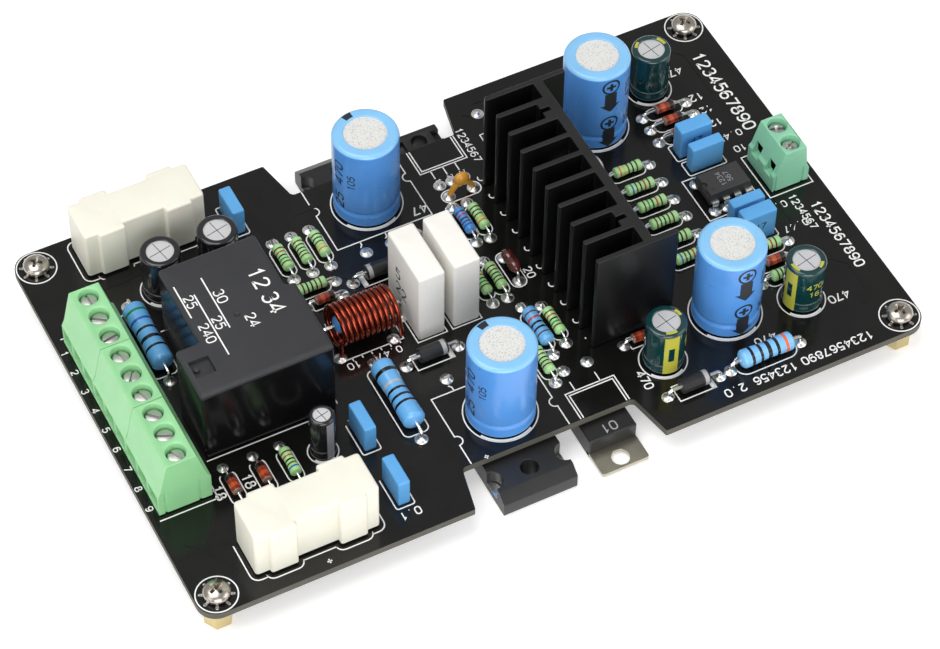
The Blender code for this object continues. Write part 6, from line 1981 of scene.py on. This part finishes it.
@dataclass
class DipChip(Part):
    """Eight-pin chip in a drafted case with shouldered pins."""

    pitch: float = 2.54

    def build(self) -> None:
        """Case with an end notch and a dot, and eight folded pins."""
        node = "input_chip"
        cx, cy, _ = node_centre(node)
        top = node_box(node)[1][2]
        base, middle, foot = top - 3.3, top - 1.65, self.deck - 0.5
        levels = [(0.35, base), (0.03, middle - 0.12), (0.0, middle), (0.03, middle + 0.12)]
        levels += [(0.3, top - 0.08), (0.4, top)]
        surface = Surface().stack(box_plan(cx, cy, 4.8, 3.2, 0.12, 2), levels)
        cutter = Surface().lathe([(0.8, top - 0.6), (0.9, top + 1.0)], (cx - 4.6, cy), 28)
        cutter.lathe([(0.4, top - 0.15), (0.5, top + 0.5)], (cx - 3.4, cy - 1.9), 24)
        looks = ("case_plastic", CHIP_GREY)
        edge = Edge(0.05, 1, 50.0, 12.0)
        self.add("input_chip_case", surface, *looks, node=node, cutters=(cutter,), edge=edge)
        marks, pins = Surface(), Surface()
        ink = Ink(marks, flat_map((cx, cy), top, 90.0), height=0.015, sink=0.02)
        ink.number("1234", 1.0, (0.0, 0.6), 0.12)
        ink.number("567", 1.0, (0.0, -1.0), 0.12)
        self.add("input_chip_print", marks, "case_plastic", GREY_INK)
        corners = [
            (2.7, middle - 0.13, 0.05), (3.7, middle - 0.13, 0.1), (3.7, foot, 0.05),
            (4.05, foot, 0.05), (4.05, middle + 0.13, 0.3), (2.7, middle + 0.13, 0.05),
        ]
        for step in (-1.5, -0.5, 0.5, 1.5):
            x = cx + step * self.pitch
            for side in SIDES:
                pins.prism(rounded(corners, 3) * [side, 1] + [cy, 0.0], x - 0.7, x + 0.7, Axis.X)
        self.add("input_chip_pins", pins, "zinc", TINNED, node=node)


@dataclass
class HangingPart(Part):
    """Part that hangs under a notch: a moulded body, bent pins and sometimes a metal tab."""

    node: str
    title: str
    side: int
    low: float = 0.2

    def add_pins(
        self, surface: Surface, spots: Place, start: float, stop: float, width: float, level: float
    ) -> None:
        """Flat leads that run out level and turn up through the board."""
        top = self.deck + 0.8
        corners = [
            (start, level - 0.3, 0.0), (stop - 0.3, level - 0.3, 0.6), (stop - 0.3, top, 0.05),
            (stop + 0.3, top, 0.05), (stop + 0.3, level + 0.3, 0.2), (start, level + 0.3, 0.0),
        ]
        for x in spots:
            surface.prism(rounded(corners) * [self.side, 1], x - width / 2, x + width / 2, Axis.X)

    def add_case(self, case: Surface, cutters: Iterable[Surface] = (), edge: Edge | None = None) -> None:
        """The moulded body."""
        looks = ("case_plastic", EPOXY)
        self.add(f"{self.title}_case", case, *looks, node=self.node, cutters=cutters, edge=edge)

    def build_power(self) -> None:
        """Large transistor with a bevelled end, side notches over bright metal, and a screw hole."""
        low, top, side = self.low, 5.1, self.side
        inner, outer, ends = 26.3, 46.2, ((-15.4, -90), (0.2, 90))
        section = [(inner, low), (outer, low), (outer, top - 1.6), (outer - 2.2, top), (inner, top)]
        section = rounded([(y, z, 0.25) for y, z in section], 3) * [side, 1]
        cutter = Surface().lathe([(1.8, -2.0), (1.8, 8.0)], (-7.6, side * 41.25), 36)
        cutter.lathe([(0.5, top - 0.12), (0.6, top + 1)], (-12.6, side * 29.0), 24)
        metal = Surface()
        for x, start in ends:
            cutter.lathe([(2.1, low + 1.6), (2.1, 8.0)], (x, side * 41.0))
            half_disc = arc((x, 41.0), 1.95, start, start + 180, 16) * [1, side]
            metal.stack(half_disc, [(0, low + 1.2), (0, low + 1.66)])
        case = Surface().prism(section, ends[0][0], ends[1][0], Axis.X)
        self.add_case(case, (cutter,), Edge(0.15, crease=20.0))
        self.add_pins(metal, (-13.05, -7.6, -2.15), inner + 0.5, 17.5, 1.2, low + 2.45)
        back = rectangle(-13.6, -1.6, 27.8, 44.9, 0.8).outline() * [1, side]
        metal.stack(back, [(0, low - 0.05), (0, low + 0.3)])
        self.add(f"{self.title}_metal", metal, "zinc", TINNED, node=self.node)

    def build_driver(self) -> None:
        """Fully moulded transistor with a screw hole, side notches and an ejector dimple."""
        low, top, inner = self.low, 4.7, 28.7
        levels = [(0.2, low), (0.0, low + 0.2), (0.0, top - 0.3), (0.25, top)]
        case = Surface().stack(rectangle(5.25, 15.35, inner, 44.5, 0.3), levels)
        cutter = Surface().lathe([(1.6, -2.0), (1.6, top - 0.4), (1.9, top + 1.0)], (10.3, 41.4), 36)
        cutter.stack(rectangle(5.0, 7.2, 40.0, 42.8), [(0, 3.2), (0, 8.0)])
        cutter.stack(rectangle(13.4, 15.6, 40.0, 42.8), [(0, 3.2), (0, 8.0)])
        cutter.lathe([(0.5, top - 0.12), (0.6, top + 1)], (7.6, 31.0), 24)
        self.add_case(case, (cutter,), Edge(0.12, 2))
        metal = Surface()
        self.add_pins(metal, (7.6, 10.3, 13.0), inner + 0.5, 26.6, 0.8, low + 2.25)
        self.add(f"{self.title}_metal", metal, "zinc", TINNED, node=self.node)

    def build_switch(self) -> None:
        """Thermal switch: a moulded body on a drilled nickel tab."""
        low, top = self.low, 5.1
        self.add_case(Surface().stack(rectangle(5.25, 15.35, -41.5, -27.3, 0.3), eased(low, top, 0.2, 0.3)))
        marks, metal = Surface(), Surface()
        Ink(marks, flat_map((10.3, -39.7), top, 180.0), height=0.02).number("01", 1.9, bold=0.14)
        self.add(f"{self.title}_print", marks, "case_plastic", SILVER_BAND)
        outline = rounded([(5.25, -46.9, 0.5), (15.35, -46.9, 0.5), (15.35, -40.5, 0), (5.25, -40.5, 0)])
        tab = Surface().plate(outline, [circle((10.3, -44.6), 1.8, 36)], low + 0.4, low + 1.2)
        self.add(f"{self.title}_tab", tab, "zinc", NICKEL, node=self.node, edge=Edge(0.08))
        self.add_pins(metal, (7.75, 12.85), 27.8, 25.8, 0.8, low + 2.45)
        self.add(f"{self.title}_pins", metal, "zinc", TINNED, node=self.node)


@dataclass
class Studio:
    """White sweep, soft lamps and the camera at the photograph's angle."""

    camera_place: tuple[float, float, float] = (-188.81, -362.43, 512.61)
    look_at: tuple[float, float, float] = (-4.877, -11.136, 12.6)
    roll: float = 0.858
    lens: float = 127.72
    sensor: float = 36.0
    floor_half: float = 3.0
    floor_glow: float = 0.34
    sky: float = 0.42

    def add_camera(self) -> None:
        """Aim along the line to the look-at point and turn about it by the roll."""
        place, target = Vector(self.camera_place) * MM, Vector(self.look_at) * MM
        forward = (target - place).normalized()
        level = forward.cross(Vector((0, 0, 1))).normalized()
        turn = math.radians(self.roll)
        right = level * math.cos(turn) + level.cross(forward) * math.sin(turn)
        data = bpy.data.cameras.new("camera")
        data.lens = self.lens
        data.sensor_width = self.sensor
        data.clip_end = 10.0
        camera = bpy.data.objects.new("camera", data)
        rows = Matrix((right, right.cross(forward), -forward)).transposed()
        camera.matrix_world = Matrix.Translation(place) @ rows.to_4x4()
        bpy.context.scene.collection.objects.link(camera)
        bpy.context.scene.camera = camera

    def add_lamp(self, name: str, place: Place, height: float, size: float, power: float) -> None:
        """Square soft box that faces a height on the Z axis; lengths in metres, power in watts."""
        data = bpy.data.lights.new(name, "AREA")
        data.shape = "SQUARE"
        data.size = size
        data.energy = power
        lamp = bpy.data.objects.new(name, data)
        aim = Vector((0.0, 0.0, height)) - Vector(place)
        lamp.rotation_euler = aim.to_track_quat("-Z", "Y").to_euler()
        lamp.location = place
        bpy.context.scene.collection.objects.link(lamp)

    def math_node(self, tree: Tree, operation: str, first: Socket, second: Socket | float) -> Socket:
        """Sum, product or greater of a value and another value or number."""
        node = tree.nodes.new("ShaderNodeMath")
        node.operation = operation
        tree.links.new(first, node.inputs[0])
        if isinstance(second, float):
            node.inputs[1].default_value = second
        else:
            tree.links.new(second, node.inputs[1])
        return node.outputs[0]

    def add_floor(self) -> None:
        """Level white sheet that adds light for the camera and mirrors but keeps its shadow."""
        half = self.floor_half
        mesh = bpy.data.meshes.new("floor")
        corners = [(-half, -half, 0), (half, -half, 0), (half, half, 0), (-half, half, 0)]
        mesh.from_pydata(corners, [], [(0, 1, 2, 3)])
        floor = bpy.data.objects.new("floor", mesh)
        bpy.context.scene.collection.objects.link(floor)
        material = bpy.data.materials.new("floor_sheet")
        material.use_nodes = True
        tree = material.node_tree
        shader = tree.nodes["Principled BSDF"]
        white = (1.0, 1.0, 1.0, 1.0)
        dial(shader, Base_Color=(0.86, 0.85, 0.84, 1.0), Roughness=0.9, Emission_Color=white)
        rays = tree.nodes.new("ShaderNodeLightPath").outputs
        seen = self.math_node(tree, "MAXIMUM", rays["Is Camera Ray"], rays["Is Glossy Ray"])
        seen = self.math_node(tree, "MAXIMUM", seen, rays["Is Transmission Ray"])
        strength = self.math_node(tree, "MULTIPLY", seen, self.floor_glow)
        tree.links.new(strength, shader.inputs["Emission Strength"])
        mesh.materials.append(material)

    def build(self) -> None:
        """Everything round the object."""
        bpy.context.scene.view_settings.view_transform = "Standard"
        self.add_camera()
        self.add_floor()
        world = bpy.data.worlds.new("studio")
        world.use_nodes = True
        dial(world.node_tree.nodes["Background"], Color=(1.0, 1.0, 1.0, 1.0), Strength=self.sky)
        bpy.context.scene.world = world
        self.add_lamp("overhead_box", (-0.3, 0.1, 0.95), 0.0, 0.7, 5.4)
        self.add_lamp("left_box", (-0.9, -0.2, 0.5), 0.01, 0.6, 1.3)
        self.add_lamp("front_fill", (-0.3, -1.0, 0.45), 0.01, 0.8, 6.8)
        self.add_lamp("right_fill", (0.8, -0.6, 0.6), 0.01, 0.7, 3.0)


def build_cans(layout: Layout) -> None:
    """The blue and green cans at the places of their nodes."""
    groups = (
        ("blue_capacitor", "tall_blue_can", (
            (CanStyle.BLUE_PLAIN, 196.0), (CanStyle.BLUE_PLAIN, 204.0),
            (CanStyle.BLUE_ARROWED, -92.0), (CanStyle.BLUE_ARROWED, -92.0),
        )),
        ("green_capacitor", "green_can", (
            (CanStyle.GREEN, -100.0), (CanStyle.GREEN, -165.0), (CanStyle.GREEN, 20.0),
        )),
    )
    for node, title, cans in groups:
        for number, (style, bearing) in enumerate(cans, start=1):
            low, high = node_box(f"{node}_{number}")
            cx, cy, _ = (low + high) / 2
            can = ElectrolyticCan(layout, style, (cx, cy), low[2], high[2], (high[0] - low[0]) / 2, bearing)
            can.build(f"{title}_{number}", f"{node}_{number}")


def main() -> None:
    """Build every sub-assembly in order."""
    logging.basicConfig(level=logging.INFO, format="%(message)s")
    layout = Layout(top=float(node_box(BOARD)[0][2]) + Layout.thickness)
    board = CircuitBoard(layout)
    for part in (
        board, Silkscreen(layout, board.corners()), Hardware(layout),
        TerminalBlock(layout, BlockKind.POWER), TerminalBlock(layout, BlockKind.INPUT), Relay(layout),
        FuseHolder(layout, 1), FuseHolder(layout, 2), Heatsink(layout), DriverChip(layout),
    ):
        part.build()
    build_cans(layout)
    for kind in (AxialParts, BoxedParts, OutputCoil, Trimmer, DipChip):
        kind(layout).build()
    HangingPart(layout, "power_transistor_1", "front_power_transistor", -1).build_power()
    HangingPart(layout, "power_transistor_2", "back_power_transistor", 1).build_power()
    HangingPart(layout, "driver_transistor", "driver_transistor", 1).build_driver()
    HangingPart(layout, "thermal_switch", "thermal_switch", -1).build_switch()
    Studio().build()


if __name__ == "__main__":
    main()
